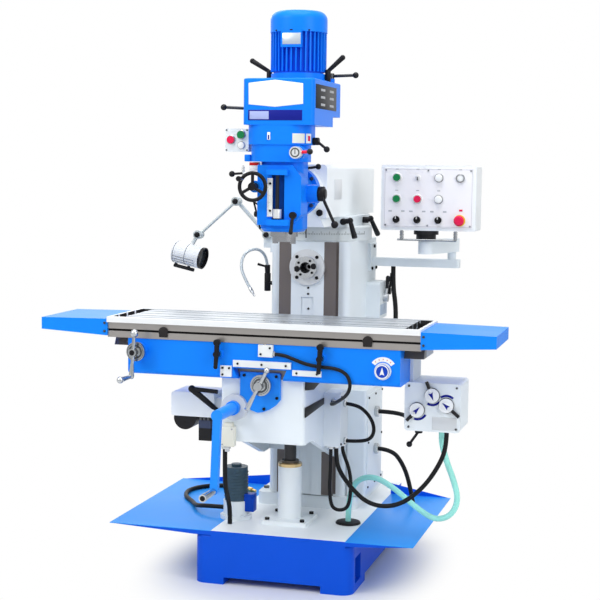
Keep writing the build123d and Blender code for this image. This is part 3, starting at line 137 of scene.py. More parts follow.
# Base and tray wings: a sprayed iron box with a pale deck, and folded sheet wings bolted beside the deck.
# Paint lies over a slightly uneven casting, so it has a faint mottle, an orange-peel skin and a mixed gloss.
# From here on lengths are in millimetres, as in the CAD, and are turned into metres as they are used.
def metres(lengths):
    return [length / 1000 for length in lengths]


def zone_mask(tree, place, zone):
    """1 inside a zone: spans of x, y and z (x mirrored on request), a ball or an upright core. Else 0."""
    if "near" in zone:
        reach = shade(tree, "VectorMath", {0: place, 1: metres(zone["near"])}, out="Value",
                      operation="DISTANCE")
        return shade(tree, "Math", {0: reach, 1: zone["radius"] / 1000}, operation="LESS_THAN")
    mask = None
    if "core" in zone:
        flat = shade(tree, "VectorMath", {0: place, 1: (1, 1, 0)}, operation="MULTIPLY")
        mask = zone_mask(tree, flat, {"near": (*zone["core"], 0), "radius": zone["radius"]})
    for number, axis in enumerate("xyz"):
        if axis not in zone:
            continue
        value = shade(tree, "SeparateXYZ", {0: place}, out=number)
        if axis == "x" and zone.get("both_sides"):
            value = shade(tree, "Math", {0: value}, operation="ABSOLUTE")
        low, high = metres(zone[axis])
        inside = shade(tree, "Math", {0: value, 1: (low + high) / 2, 2: (high - low) / 2},
                       operation="COMPARE")
        mask = shade(tree, "Math", {0: mask, 1: inside}, operation="MULTIPLY") if mask else inside
    return mask


def mixed(tree, kind, share, first, second):
    """A mix of two colours or numbers, each a value or a socket."""
    a, b, out = (6, 7, 2) if kind == "RGBA" else (2, 3, 0)
    return shade(tree, "Mix", {0: share, a: first, b: second}, out=out, data_type=kind)


def finish(name, colour, rough, metal=0.0, mottle=0.05, skin=500, skin_depth=0.12, stretch=(1, 1, 1),
           zones=(), mirror=0.2):
    """A sprayed, ground or moulded surface. Each zone is (where, colour, roughness, metal)."""
    material = bpy.data.materials.new(name)
    material.use_nodes = True
    tree = material.node_tree
    place = shade(tree, "TexCoord", out="Object")
    patchy = shade(tree, "TexNoise", {"Vector": place, "Scale": 7, "Detail": 5}, out="Fac")
    drawn_out = shade(tree, "Mapping", {"Vector": place, "Scale": stretch})
    grain = shade(tree, "TexNoise", {"Vector": drawn_out, "Scale": skin, "Detail": 2}, out="Fac")
    bump = shade(tree, "Bump", {"Strength": 0.35, "Distance": skin_depth / 1000, "Height": grain})
    dark, light = ((*(min(1, c * (1 + part)) for c in colour), 1) for part in (-mottle, mottle))
    paint = mixed(tree, "RGBA", patchy, dark, light)
    gloss = mixed(tree, "FLOAT", patchy, rough - 0.07, rough + 0.07)
    shine = metal
    for where, zone_colour, zone_rough, zone_metal in zones:
        mask = zone_mask(tree, place, where)
        paint = mixed(tree, "RGBA", mask, paint, (*zone_colour, 1))
        gloss = mixed(tree, "FLOAT", mask, gloss, zone_rough)
        if zone_metal != metal or isinstance(shine, bpy.types.NodeSocket):
            shine = mixed(tree, "FLOAT", mask, shine, zone_metal)
    shader = tree.nodes["Principled BSDF"]
    for entry, value in (("Base Color", paint), ("Roughness", gloss), ("Metallic", shine), ("Normal", bump),
                         ("Specular IOR Level", mirror)):
        plug(tree, shader.inputs[entry], value)
    return material


def dress(material, *names):
    for name in names:
        nodes[name].data.materials.clear()
        nodes[name].data.materials.append(material)


deep_azure = (0.003, 0.085, 0.66)
deck_top, skim = 205, 0.4
# Painted light: the deck's white is set lighter than the machine's other white to make up for the shade the
# deck lies in.
dress(finish("base_paint", deep_azure, 0.34, mirror=0.1, zones=[
    ({"z": (deck_top - skim, 250)}, (0.93, 0.97, 0.99), 0.36, 0)]), "base_casting")
tray_front, tray_back, sheet, lap = -533, 290, 3, 0.2
tray_paint = finish("tray_paint", (0.03, 0.32, 0.92), 0.36, mirror=0.1, zones=[
    # Painted shade: the front hem takes the base's deep blue for the shaded underside of the sheet's front
    # edge.
    ({"y": (tray_front - 2, tray_front + sheet + lap), "z": (180, deck_top - sheet + lap)},
     deep_azure, 0.34, 0),
    # Painted shade: the rear wall is a deeper blue for the shade it stands in.
    ({"y": (tray_back - sheet - lap, tray_back + 2), "z": (deck_top + skim, 260)},
     (0.003, 0.11, 0.78), 0.34, 0)])
dress(tray_paint, "tray_wings")

# Small hard trim: turned discs, blocks with broken edges, balls, cut plates, rings and screws, made in place.
# Each function here gives a shape, and a piece is built from its shapes in turn, then rides on a body.
# Edges are bevelled as a maker would break them.
FRONT, RIGHT, UP, DOWN = (0, -1, 0), (1, 0, 0), (0, 0, 1), (0, 0, -1)


def break_edges(form, edges, width):
    bmesh.ops.bevel(form, geom=list(edges), offset=width / 1000, segments=2, profile=0.5, affect="EDGES",
                    material=-1)


def flat_face(form, points):
    return form.faces.new([form.verts.new(metres(point)) for point in points])


def sweep(form, outline, centre, axis, angle, steps, rise=0.0, close=False):
    bmesh.ops.spin(form, geom=outline, cent=metres(centre), axis=axis, dvec=(0, 0, rise / 1000), angle=angle,
                   steps=steps, use_merge=close, use_duplicate=False)


def span(middle, half):
    return middle - half, middle + half


def bar(start, end, radius, end_radius=None, edge=0.0, sides=28):
    """A round bar, disc or cone from one point to another."""
    def add(form):
        low, high = Vector(start) / 1000, Vector(end) / 1000
        along = high - low
        place = Matrix.Translation((low + high) / 2) @ along.to_track_quat("Z", "Y").to_matrix().to_4x4()
        far_radius = radius if end_radius is None else end_radius
        made = bmesh.ops.create_cone(form, cap_ends=True, segments=sides, radius1=radius / 1000,
                                     radius2=far_radius / 1000, depth=along.length, matrix=place)
        if edge:
            break_edges(form, {e for v in made["verts"] for e in v.link_edges
                               if any(len(f.verts) > 4 for f in e.link_faces)}, edge)
    return add


def coils(axis, first, pitch, count, thick, radius, edge, sides):
    """Equal discs up an upright axis, as ribs or the turns of a spring."""
    heights = [first + pitch * step for step in range(count)]
    return [bar((*axis, z), (*axis, z + thick), radius, edge=edge, sides=sides) for z in heights]


def block(x, y, z, edge=0.0, spin=Matrix.Identity(4)):
    """A block over spans of x, y and z, turned about its middle."""
    def add(form):
        middle = Matrix.Translation([(low + high) / 2000 for low, high in (x, y, z)])
        sizes = Matrix.Diagonal((*((high - low) / 1000 for low, high in (x, y, z)), 1))
        made = bmesh.ops.create_cube(form, size=1, matrix=middle @ spin @ sizes)
        if edge:
            break_edges(form, {e for v in made["verts"] for e in v.link_edges}, edge)
    return add


def plate(x, face, z, rise, edge=0.0):
    """A thin plate let into a face that looks to the front."""
    return block(x, (face - rise, face + 1), z, edge)


def radial_block(axis, centre, radius, angle, along, across, depth, edge=0.0):
    """A small block on a circle about Y or Z, given half its length along the radius and half its width."""
    u, v = centre[0] + radius * math.cos(angle), centre[1] + radius * math.sin(angle)
    if axis == "Y":
        return block(span(u, along), depth, span(v, across), edge, Matrix.Rotation(-angle, 4, "Y"))
    return block(span(u, along), span(v, across), depth, edge, Matrix.Rotation(angle, 4, "Z"))


def ball(centre, radius):
    return lambda form: bmesh.ops.create_uvsphere(form, u_segments=24, v_segments=14, radius=radius / 1000,
                                                  matrix=Matrix.Translation(metres(centre)))


def cut_plate(outline, thick, edge=0.4):
    """A flat plate of any outline, drawn out from its back by the vector thick."""
    def add(form):
        back = flat_face(form, outline)
        drawn = bmesh.ops.extrude_face_region(form, geom=[back], use_keep_orig=True)["geom"]
        faces = [item for item in drawn if isinstance(item, bmesh.types.BMFace)]
        corners = [item for item in drawn if isinstance(item, bmesh.types.BMVert)]
        bmesh.ops.translate(form, verts=corners, vec=metres(thick))
        break_edges(form, [e for f in faces if len(f.verts) == len(outline) for e in f.edges], edge)
    return add


def ring(centre, inner, outer, depth):
    """A flat collar round a button, standing on a face that looks to the front."""
    def add(form):
        x, y, z = centre
        corners = [(inner, 0.0), (outer, 0.0), (outer, -depth * 0.7), (outer - depth * 0.3, -depth),
                   (inner, -depth)]
        loop = [form.verts.new(metres((x + r, y + d, z))) for r, d in corners]
        edges = [form.edges.new(pair) for pair in zip(loop, loop[1:] + loop[:1])]
        sweep(form, loop + edges, centre, FRONT, math.tau, 36, close=True)
    return add


def arc_plate(centre, y, inner, outer, first, degrees, thick=1.5):
    """Part of a flat ring on a face that looks to the front, swept from an angle in degrees."""
    def add(form):
        start = math.radians(first)
        corners = [(inner, y), (outer, y), (outer, y - thick), (inner, y - thick)]
        end = flat_face(form, [(centre[0] + r * math.cos(start), d, centre[1] + r * math.sin(start))
                               for r, d in corners])
        sweep(form, [end], (centre[0], y, centre[1]), FRONT, math.radians(degrees), 24)
    return add


def hex_head(centre, out, radius):
    return bar(centre, Vector(centre) + Vector(out) * radius * 0.8, radius, edge=radius * 0.1, sides=6)


def socket_screw(centre, out, radius):
    """A round screw head with a sunk socket, seated on a face."""
    def add(form):
        seat, way = Vector(centre), Vector(out)
        crown = seat + way * radius * 0.9
        bar(seat - way * radius * 0.2, crown, radius, edge=radius * 0.12, sides=18)(form)
        cap = min(form.faces, key=lambda f: (f.calc_center_median() * 1000 - crown).length)
        bmesh.ops.inset_individual(form, faces=[cap], thickness=radius * 0.36 / 1000)
        bmesh.ops.translate(form, verts=cap.verts, vec=metres(-way * radius * 0.55))
    return add


def screws(places, radius, out=FRONT):
    return [socket_screw(place, out, radius) for place in places]


def grid(xs, y, zs):
    return [(x, y, z) for x in xs for z in zs]


def on_face(y, points):
    return [(x, y, z) for x, z in points]


def around(centre, radius, angles):
    """Points on a circle that faces the front, at angles in degrees."""
    x, y, z = centre
    return [(x + radius * math.cos(a), y, z + radius * math.sin(a)) for a in map(math.radians, angles)]


def piece(name, material, body, *shapes, slot=None, instead_of=None):
    """Build a piece that rides on a body; the slot argument is not used."""
    form = bmesh.new()
    for shape in shapes:
        shape(form)
    bmesh.ops.recalc_face_normals(form, faces=form.faces)
    mesh = bpy.data.meshes.new(name)
    form.to_mesh(mesh)
    form.free()
    mesh.polygons.foreach_set("use_smooth", [True] * len(mesh.polygons))
    mesh.set_sharp_from_angle(angle=math.radians(32))
    mesh.materials.append(material)
    made = bpy.data.objects.new(name, mesh)
    studio.collection.objects.link(made)
    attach(made, body)
    if instead_of:
        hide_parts(instead_of)
    return made


ink = (0.012, 0.012, 0.014)
bright = (0.56, 0.58, 0.6)
black = finish("black_moulded", ink, 0.3, mottle=0.1, skin=900, skin_depth=0.08, mirror=0.12)
black_sheath = finish("black_sheath", (0.012, 0.012, 0.013), 0.42, mottle=0.15, skin=700, mirror=0.12)
bright_steel = finish("bright_steel", bright, 0.26, metal=1, skin=260, skin_depth=0.06)
dark_steel = finish("dark_steel", (0.11, 0.115, 0.12), 0.38, metal=1, skin=260)
black_screw = finish("black_screw", (0.02, 0.02, 0.022), 0.35, metal=0.4, skin=400, mirror=0.12)
base_side, base_top, tray_wall = 309, 187, 45
tray_under = deck_top - 2


def tray_sheet(inner, outer):
    """One wing: a flat sheet, a hem in front that tapers to the base's corner and a wall behind."""
    return (block(sorted((inner, outer)), (tray_front, tray_back), (deck_top - sheet, deck_top), 0.6),
            cut_plate([(outer, tray_front, tray_under), (inner, tray_front, tray_under),
                       (inner, tray_front, base_top),
                       (math.copysign(base_side, outer), tray_front, base_top)], (0, sheet, 0)),
            cut_plate([(outer, tray_back, tray_under), (inner, tray_back, tray_under),
                       (inner, tray_back, deck_top + tray_wall)], (0, -sheet, 0)))


piece("tray_sheets", tray_paint, "frame", *tray_sheet(-242, -655), *tray_sheet(282, 538),
      instead_of="tray_wings")
drain = (228, -260)
piece("drain_grommet", black_sheath, "frame",
      bar((*drain, deck_top), (*drain, deck_top + 9.5), 50, 46, edge=3, sides=40))
piece("column_foot_bolts", dark_steel, "frame",
      *[hex_head((x, y, 255), UP, 12) for x in (-188, 188) for y in (20, 220, 420)])

# Column: a white casting with ground grey-brown ways on its front, the spindle's flange and its oil points.
# The ways are bare ground iron, a little darker where the knee has wiped oil along them.
cloud = (0.76, 0.815, 0.85)
way_front, groove_floor = -70, -64
dress(finish("column_paint", cloud, 0.36, zones=[
    ({"x": (68, 120), "y": (-90, way_front + 36), "z": (262.5, 1285.5), "both_sides": True},
     (0.155, 0.135, 0.128), 0.44, 0.3)]), "column")
white_paint = finish("white_paint", cloud, 0.36)
dress(white_paint, "column_brackets")
dress(finish("flange_steel", (0.7, 0.72, 0.74), 0.3, metal=0.5, skin=300), "spindle_flange")
spindle_z, flange_front = 1184, -82
piece("flange_screws", black_screw, "frame",
      *screws(around((0, flange_front + 1.5, spindle_z), 58, (45, 135, 225, 315)), 6.8))
piece("column_oil_points", black_screw, "frame",
      *[bar((4, y + 2, z), (4, y - 3, z), 4.5, edge=1, sides=16)
        for y, z in ((way_front, 1101), (way_front, 1077), (groove_floor, 1017))])

# Horizontal spindle: a hardened nose with two drive keys, four face screws and a taper bore.
# The nose is ground bright and its keys are blackened; the taper bore is painted near black as painted shade.
nose_face, key_reach = -106, 34.5
drive_keys = around((0, nose_face - 3, spindle_z), key_reach, (10, 190))
dress(finish("spindle_steel", (0.58, 0.6, 0.62), 0.28, metal=1, skin=300, zones=[
    *[({"near": key, "radius": 12.5}, ink, 0.35, 0.3) for key in drive_keys],
    # Painted shade: the bore is coloured near black for the shade inside it.
    ({"near": (0, -70, spindle_z), "radius": 30}, (0.03, 0.03, 0.035), 0.4, 0.8)]), "horizontal_spindle")
piece("nose_screws", black_screw, "horizontal_spindle_body",
      *screws(around((0, nose_face, spindle_z), 33.5, (55, 145, 235, 325)), 5))

# Electrical cabinet and gear shift box on the column's right side: pressed steel with a screwed cover,
# bright cable glands, black-gripped shift levers and a bare blue-grey gate plate.
cabinet_side, shift_box_side, shift_cover_side = 240, 224.5, 177
dress(finish("cabinet_paint", cloud, 0.4, zones=[({"x": (cabinet_side + 4.5, 300)}, bright, 0.3, 1)]),
      "electrical_cabinet")
cabinet_screws = [(cabinet_side + 4, y, z) for y in (2, 125, 248) for z in (292, 475, 658)
                  if (y, z) != (125, 475)]
shift_screws = [(shift_cover_side, y, z) for y, z in ((312, 1160), (388, 1160), (350, 1252))]
piece("cover_screws", black_screw, "frame", *screws(cabinet_screws, 4.5, RIGHT),
      *screws(shift_screws, 7, RIGHT))
piece("cabinet_gland_nuts", bright_steel, "frame",
      *[hex_head((cabinet_side + 4.2, 120, z), RIGHT, 22.5) for z in (430, 585)])
shift_grip_z = 1075
dress(finish("shift_lever_finish", bright, 0.3, metal=1, zones=[({"z": (shift_grip_z, 1200)}, ink, 0.3, 0)]),
      "shift_lever")
piece("second_shift_lever", black, "frame", bar((224.8, 385, 1060), (246, 385, 1060), 15, edge=2),
      bar((238, 385, 1060), (244, 392, 1102), 5), bar((243.5, 391.5, 1098), (248, 398, 1136), 7, 9, edge=3))
piece("shift_gate_plate",
      finish("plate_steel_blue", (0.42, 0.52, 0.66), 0.35, metal=0.3), "frame",
      block((shift_box_side, 226.2), (275, 395), (965, 1010), 0.6))

# Elevating screw and its pedestal: a turned white tube bolted to the deck, a brass ring and dark nut on top,
# and a dark steel screw with a trapezoidal thread cut on it.
screw_axis, nut_low = (0, -292), 436.5
# Painted light: the pedestal's white is set lighter than the machine's other white to make up for its shade.
dress(finish("pedestal_paint", (0.88, 0.93, 0.97), 0.34, zones=[
    ({"z": (nut_low, 460)}, (0.1, 0.085, 0.07), 0.4, 0.6),
    ({"z": (424, nut_low)}, (0.62, 0.46, 0.24), 0.28, 1),
    ({"x": (60, 82), "y": (-375, -210), "z": (221.2, 232), "both_sides": True}, ink, 0.4, 0.3)]),
      "screw_pedestal")
screw_low, screw_high, screw_radius, thread_depth, thread_pitch = 255, 772, 24, 2.6, 5
thread_steel = finish("thread_steel", (0.07, 0.07, 0.075), 0.36, metal=0.9)
dress(thread_steel, "elevating_screw")


def thread(form):
    """The thread's ridge, rooted in the core and swept up it as a helix."""
    root, crest = screw_radius - thread_depth - 0.4, screw_radius - 0.1
    profile = ((root, -1.7), (crest, -0.8), (crest, 0.8), (root, 1.7))
    ridge = flat_face(form, [(screw_axis[0] + r, screw_axis[1], screw_low + 4 + rise) for r, rise in profile])
    turns, steps = int((screw_high - screw_low - 10) / thread_pitch), 20
    sweep(form, [ridge], (*screw_axis, screw_low), UP, math.tau * turns, steps * turns, thread_pitch / steps)


piece("elevating_core", thread_steel, "elevating_screw_body",
      bar((*screw_axis, screw_low), (*screw_axis, screw_high), screw_radius - thread_depth, edge=1, sides=40),
      instead_of="elevating_screw")
piece("elevating_thread", thread_steel, "elevating_screw_body", thread, instead_of="elevating_screw")

# Coolant pump: a white drum on a bolted foot with a dark ribbed motor and a blue terminal box on its side.
# The box is a screwed steel pressing, and the ribs are cast round the motor's frame.
pump_axis, pump_box_front = (-215, -305), -330
slate = (0.045, 0.085, 0.12)
dress(finish("pump_paint", slate, 0.4, zones=[({"z": (200, 277.2)}, cloud, 0.36, 0)]), "coolant_pump")
piece("pump_ribs", finish("pump_slate", slate, 0.4), "frame",
      *coils(pump_axis, 290, 12, 9, 4, 47.5, 1, 40))
piece("pump_terminal_box", finish("box_blue", (0.003, 0.05, 0.42), 0.3, mirror=0.1),
      "frame", block((-176, -136), (pump_box_front, -286), (236, 306), 3),
      *screws(grid((-170, -142), pump_box_front, [297]), 3))

# Work lamp: a jointed pale arm clamped to the column and a white cylindrical head with a black mouth.
# Each joint is closed with a black hand nut, and a black handle hangs under the head.
dress(finish("lamp_grey", (0.54, 0.59, 0.59), 0.3, metal=0.2, skin=600, skin_depth=0.03),
      "lamp_lower_arm", "lamp_upper_arm")
lamp_back, lamp_front = Vector((-572, -38.9, 1230)), Vector((-446, -48.9, 1204))
lamp_aim = (lamp_front - lamp_back).normalized()
dress(finish("lamp_body", (0.7, 0.72, 0.735), 0.3, skin=700, skin_depth=0.03, zones=[
    ({"near": tuple(lamp_front), "radius": 46.2}, ink, 0.35, 0),
    ({"near": (-478, -33, 1300), "radius": 40}, (0.56, 0.61, 0.61), 0.32, 0)]), "lamp_head")


def across_lamp(way):
    """The direction nearest to way that stands square to the lamp's axis."""
    way = Vector(way)
    return (way - lamp_aim * way.dot(lamp_aim)).normalized()


seams = [lamp_back + lamp_aim * start for start in (4, 58)]
ribs = [lamp_back + across_lamp((0, -math.cos(lean), math.sin(lean))) * 44.9
        for lean in map(math.radians, (-18, -34, -50))]
piece("lamp_seam_rings", finish("lamp_seam_grey", (0.19, 0.2, 0.22), 0.4),
      "lamp_head_body", *[bar(seam, seam + lamp_aim * 3, 45.8, edge=0.6, sides=48) for seam in seams],
      *[bar(rib + lamp_aim * 8, rib + lamp_aim * 104, 1.6, sides=8) for rib in ribs])
under = across_lamp(DOWN)
posts = [lamp_back + lamp_aim * along + under * 42 for along in (12, 70)]
grip = lamp_back + lamp_aim * 4 + under * 57
piece("lamp_handle", black, "lamp_head_body",
      *[bar(post, post + under * 14, 6, edge=1, sides=16) for post in posts],
      bar(grip, grip + lamp_aim * 92, 7.5, edge=2, sides=16))
piece("lamp_glass", finish("frosted_glass", (0.03, 0.035, 0.04), 0.12, skin=1200),
      "lamp_head_body", bar(lamp_front - lamp_aim * 16, lamp_front - lamp_aim * 12, 40.5, edge=1, sides=40))
for name, body, x, y, z in (("lamp_nut_base", "lamp_lower_arm_body", -195, -2.3, 1305),
                            ("lamp_nut_elbow", "lamp_upper_arm_body", -322, -22.6, 1439),
                            ("lamp_nut_wrist", "lamp_head_body", -478, -42.9, 1300)):
    piece(name, black, body, bar((x, y + 1, z), (x, y - 5, z), 11.5, edge=1.5, sides=32),
          bar((x, y - 4, z), (x, y - 14, z), 8.5, 10, edge=2, sides=10))

# Control panel: a pale steel box on a black swivel foot, with a bright wire frame hung below it.
# The push-buttons sit in plated rings, with lamps, a key switch and bare label strips above them.
panel_front, foot_top = 77, 1333.5
panel_columns, panel_rows = (327, 412, 497, 583), (1545, 1460, 1377)
rod_grey = (0.33, 0.345, 0.36)
dress(finish("panel_paint", (0.82, 0.845, 0.86), 0.38, zones=[
    ({"y": (70, panel_front + 0.5)}, (0.855, 0.84, 0.86), 0.32, 0),
    ({"z": (1200, foot_top)}, ink, 0.34, 0),
    ({"x": (320, 385), "z": (1280, foot_top)}, rod_grey, 0.2, 1),
    ({"x": (495, 580), "z": (1280, foot_top)}, rod_grey, 0.2, 1),
    ({"y": (83, 92.5), "z": (1291.5, 1300.5)}, rod_grey, 0.2, 1)]), "control_panel")
green = finish("green_moulded", (0.008, 0.2, 0.06), 0.25, mottle=0.03, skin=900)
red = finish("red_moulded", (0.72, 0.012, 0.075), 0.25, mottle=0.03, skin=900)
ivory = finish("ivory_moulded", (0.84, 0.85, 0.84), 0.25, mottle=0.02, skin=900)
dress(green, "panel_green_upper", "panel_green_lower")
dress(red, "panel_red_button", "emergency_stop")
dress(black, "panel_selector_left", "panel_selector_middle", "panel_selector_right")


def panel_at(column, row, out=0):
    """A place in the panel's rows of buttons, so far out from its face."""
    return panel_columns[column], panel_front - out, panel_rows[row]


piece("panel_button_rings", finish("ring_white", (0.7, 0.72, 0.73), 0.25, metal=0.4),
      "panel", *[ring(panel_at(*at), 14.5, 18.5, 5) for at in ((0, 0), (0, 1), (1, 1))])
piece("panel_lamps", ivory, "panel", slot="lamp_white",
      *[bar(panel_at(2, row, -2), panel_at(2, row, 16), 15.5, 14.5, edge=3) for row in (0, 1)])
piece("panel_lamp_rings", finish("ring_grey", (0.3, 0.31, 0.32), 0.3, metal=0.6),
      "panel", *[ring(panel_at(2, row), 15.7, 18, 4) for row in (0, 1)], ring(panel_at(3, 0), 13.5, 17.5, 9))
piece("panel_key_switch", finish("key_rose_grey", (0.74, 0.75, 0.76), 0.28, metal=0.3),
      "panel", bar(panel_at(1, 0, -2), panel_at(1, 0, 5), 11, edge=1.5))
lock_x, _, lock_z = panel_at(1, 0)
piece("panel_key", dark_steel, "panel",
      block(span(lock_x, 1.4), (panel_front - 18, panel_front - 4), (lock_z - 10, lock_z + 4), 0.6))
piece("panel_dial_lamp", ivory, "panel", bar(panel_at(3, 0, -2), panel_at(3, 0, 7), 13.3, edge=2),
      slot="lamp_white")
piece("stop_yellow_plate", finish("stop_yellow", (0.85, 0.58, 0.02), 0.35), "panel",
      ring(panel_at(3, 2), 10.5, 23.2, 2))
piece("stop_red_mark", red, "panel", plate((580, 594), panel_front, (1413.5, 1421.5), 0.8, 0.3))
labels = [(x, panel_rows[row] + 34, 6, 2) for row, count in ((0, 4), (1, 3))
          for x in panel_columns[:count]]
labels += [(x + aside, panel_rows[2] + 34, 7, 3) for x in panel_columns[:3]
           for aside in (-26, 26)]
piece("panel_label_strips", finish("label_grey", (0.45, 0.46, 0.48), 0.35), "panel",
      *[plate(span(x, wide), panel_front, span(z, tall), 0.6, 0.2) for x, z, wide, tall in labels])
line, left, right, low, high = 1.4, 277.5, 629.5, 1349.5, 1578.1
piece("panel_border_line", finish("border_grey", (0.5, 0.51, 0.54), 0.35), "panel",
      *[plate((x, x + line), panel_front, (low, high + line), 0.4) for x in (left, right)],
      *[plate((left, right + line), panel_front, (z, z + line), 0.4) for z in (low, high)])
piece("panel_screws", finish("panel_screw_grey", (0.4, 0.41, 0.43), 0.3, metal=0.6),
      "panel", *screws(grid((283, 454, 625), panel_front, (1355, 1574)), 3.6))
piece("panel_leg_springs", finish("spring_grey", rod_grey, 0.24, metal=1), "panel",
      *coils((348, 88), 1301.5, 6.4, 5, 4, 8.5, 1.2, 20), *coils((566, 88), 1301.5, 6.4, 5, 4, 8.5, 1.2, 20))
for x, which in zip(panel_columns, ("left", "middle", "right")):
    piece("selector_mark_" + which, ivory, "panel_selector_%s_body" % which,
          block(span(x, 1.3), (56, 57.2), (panel_rows[2] + 3, panel_rows[2] + 12.5), 0.3))

# Knee: a white open-bottomed casting with ground cross ways, a blue front plate and a screwed junction box.
# The long blue crank has a bare steel grip, and two black sheets on the knee's right side are painted shade:
# the lower one a rubber flap that keeps chips off the ways, drawn black in its shade, the upper one a painted
# shadow under the saddle.
sky_azure = (0.02, 0.26, 0.9)
knee_top, plate_front, dark_sheet_side = 818, -682, 158.8
junction_side, junction_floor = 225, 530
dress(finish("knee_paint", cloud, 0.36, zones=[
    ({"x": (-101, 101), "z": (knee_top + 0.5, 870)}, (0.2, 0.2, 0.205), 0.36, 0.7),
    ({"near": (-100, -690, 712), "radius": 52.5}, (0.6, 0.625, 0.65), 0.4, 0)]), "knee")
dress(finish("front_plate_paint", sky_azure, 0.33, mirror=0.1), "knee_front_plate")
plate_screws = ((-66, 830), (55, 830), (58, 752), (10, 710))
piece("knee_screws", black_screw, "knee", *screws(on_face(plate_front, plate_screws), 5.5),
      *screws([(junction_side, y, z) for y in (-390, -290) for z in (540, 720)], 4.5, RIGHT))
# Painted light: the feed drive's white is set lighter than the machine's other white to make up for its
# shade.
dress(finish("feed_drive_paint", (0.92, 0.96, 0.98), 0.38, zones=[
    ({"z": (500, 639.5)}, ink, 0.34, 0),
    ({"x": (-297, -241), "z": (596, 626)}, (0.05, 0.065, 0.12), 0.14, 0),
    ({"x": (-213, -158), "z": (530, 617)}, (0.76, 0.75, 0.64), 0.4, 0)]), "knee_feed_drive")
switch_axis = (-186, -536)
piece("knee_switch_trim", bright_steel, "knee", bar((*switch_axis, 614), (*switch_axis, 632), 7, edge=2),
      *screws(grid([-204], -560, (548, 602)), 3), hex_head((*switch_axis, 535), DOWN, 13.5))
front_switch, front_switch_gland = -700, (-128, -685)
piece("knee_front_switch", finish("switch_cream", (0.74, 0.735, 0.64), 0.4), "knee",
      block((-150, -98), (front_switch, -669), (566, 640), 4),
      block((-140, -108), (-694, -669.5), (638, 652), 2), block((-172, -158), (-690, -558), (578, 606), 3),
      block((-170, -145), (-690, -672), (578, 606), 3))
piece("front_switch_trim", bright_steel, "knee",
      *screws([(-142, front_switch, 574), (-106, front_switch, 632)], 3),
      hex_head((*front_switch_gland, 566), DOWN, 12.5),
      bar((*front_switch_gland, 558), (*front_switch_gland, 546), 8.5, edge=2))
piece("lubricator_studs", dark_steel, "knee",
      *[bar((x, -532, 628), (x, -532, 639.5), 7, edge=1, sides=16) for x in (-284, -269, -254)])
grip_back, grip_end, grip_x, grip_z = -890.5, -1005, -110, 444
dress(finish("knee_crank_paint", sky_azure, 0.32, mirror=0.1, zones=[
    ({"y": (grip_end - 10, grip_back)}, bright, 0.24, 1)]), "knee_crank")
piece("crank_grip_bore", black, "knee_crank_body",
      bar((grip_x, grip_end + 2, grip_z), (grip_x, grip_end - 0.6, grip_z), 9.5, edge=0.3))
dress(black, "knee_clamp_lever")
clamp_tip = (-282, -640, 762)
piece("knee_clamp_grip", black, "knee_clamp_lever_body", ball(clamp_tip, 13.5),
      bar(clamp_tip, (-205, -608, 690), 12.5, 9.5, edge=2))
ball_steel = finish("ball_crank_steel", (0.5, 0.52, 0.535), 0.2, metal=1, skin=300)
dress(ball_steel, "cross_crank", "table_crank")
piece("junction_glands", bright_steel, "knee",
      *[hex_head((junction_side, y, z), RIGHT, 13.5) for y, z in ((-350, 690), (-340, 545))],
      *[hex_head((x, y, junction_floor), DOWN, 12.5) for x, y in ((186, -385), (214, -314), (202, -366))],
      hex_head((200, -400, 703), FRONT, 12.5))
# Painted shade: black sheets on the knee's side, the lower one a rubber flap in shade, the upper one the
# shadow under the saddle.
flap_and_shadow_sheets = (((-668, 684), (-402, 693), (-402, 716), (-668, 721)),
         ((-668, 784), (-555, 770), (-455, 786), (-668, 816)))
piece("knee_flap_and_shadow_sheets", black_sheath, "knee",
      *[cut_plate([(dark_sheet_side, y, z) for y, z in corners], (3, 0, 0)) for corners in flap_and_shadow_sheets])
cross_dial, table_dial = (5, 800), (-458, 906)


def graduations(name, body, centre, radius, front, back, count=50):
    """Fine lines across the rim of a dial whose axis lies along Y, every fifth one long."""
    piece(name, black, body,
          *[radial_block("Y", centre, radius, math.tau * step / count, 0.4, 0.4,
                         (front, (front + back) / 2 if step % 5 else back)) for step in range(count)])


graduations("cross_dial_lines", "cross_crank_body", cross_dial, 38, -714.5, -705)
graduations("table_dial_lines", "table_crank_body", table_dial, 35, -758.5, -749)
for name, (x, z), y in (("cross", cross_dial, -715), ("table", table_dial, -759)):
    piece(name + "_dial_ring", dark_steel, name + "_crank_body",
          ring((x, y, z), 19.5, 26.5, 1.6), ring((x, y, z), 30, 31.8, 1))

# Saddle: a long blue casting between knee and table, with white wiper plates, lock levers and a selector.
# A white arc scale sits round the selector, and a pale limit switch is screwed to the front.
dress(finish("saddle_paint", (0.006, 0.215, 0.9), 0.33, mirror=0.1), "saddle")
dress(finish("wiper_white", (0.76, 0.79, 0.8), 0.45), "saddle_wipers")
dress(black, "table_lock_left", "table_lock_right")
for name, x in (("table_lock_left", -155), ("table_lock_right", 228)):
    piece(name + "_grip", black, name + "_body",
          bar((x + 3, -736, 954), (x - 3, -736, 858), 9.8, 7.5, edge=2),
          bar((x + 3, -728, 951), (x + 3, -747, 951), 12.5, edge=2))
crank_top, crank_low = Vector((-453.1, -780, 975.8)), Vector((-464.1, -780, 818.2))
crank_knob = crank_low + Vector((-19, -60, -6))
piece("table_crank_trim", ball_steel, "table_crank_body", ball(crank_top, 14.5),
      bar(crank_low, crank_knob, 6, 10), ball(crank_knob, 12.5))
piece("table_crank_cap", black, "table_crank_body",
      bar((table_dial[0], -791.5, table_dial[1]), (table_dial[0], -794.5, table_dial[1]), 9.8, edge=0.8))
saddle_front = -710
wiper_screws = ((-137, 858), (-112, 858), (-137, 834), (-80, 876), (10, 876),
                (100, 876), (140, 852), (215, 852))
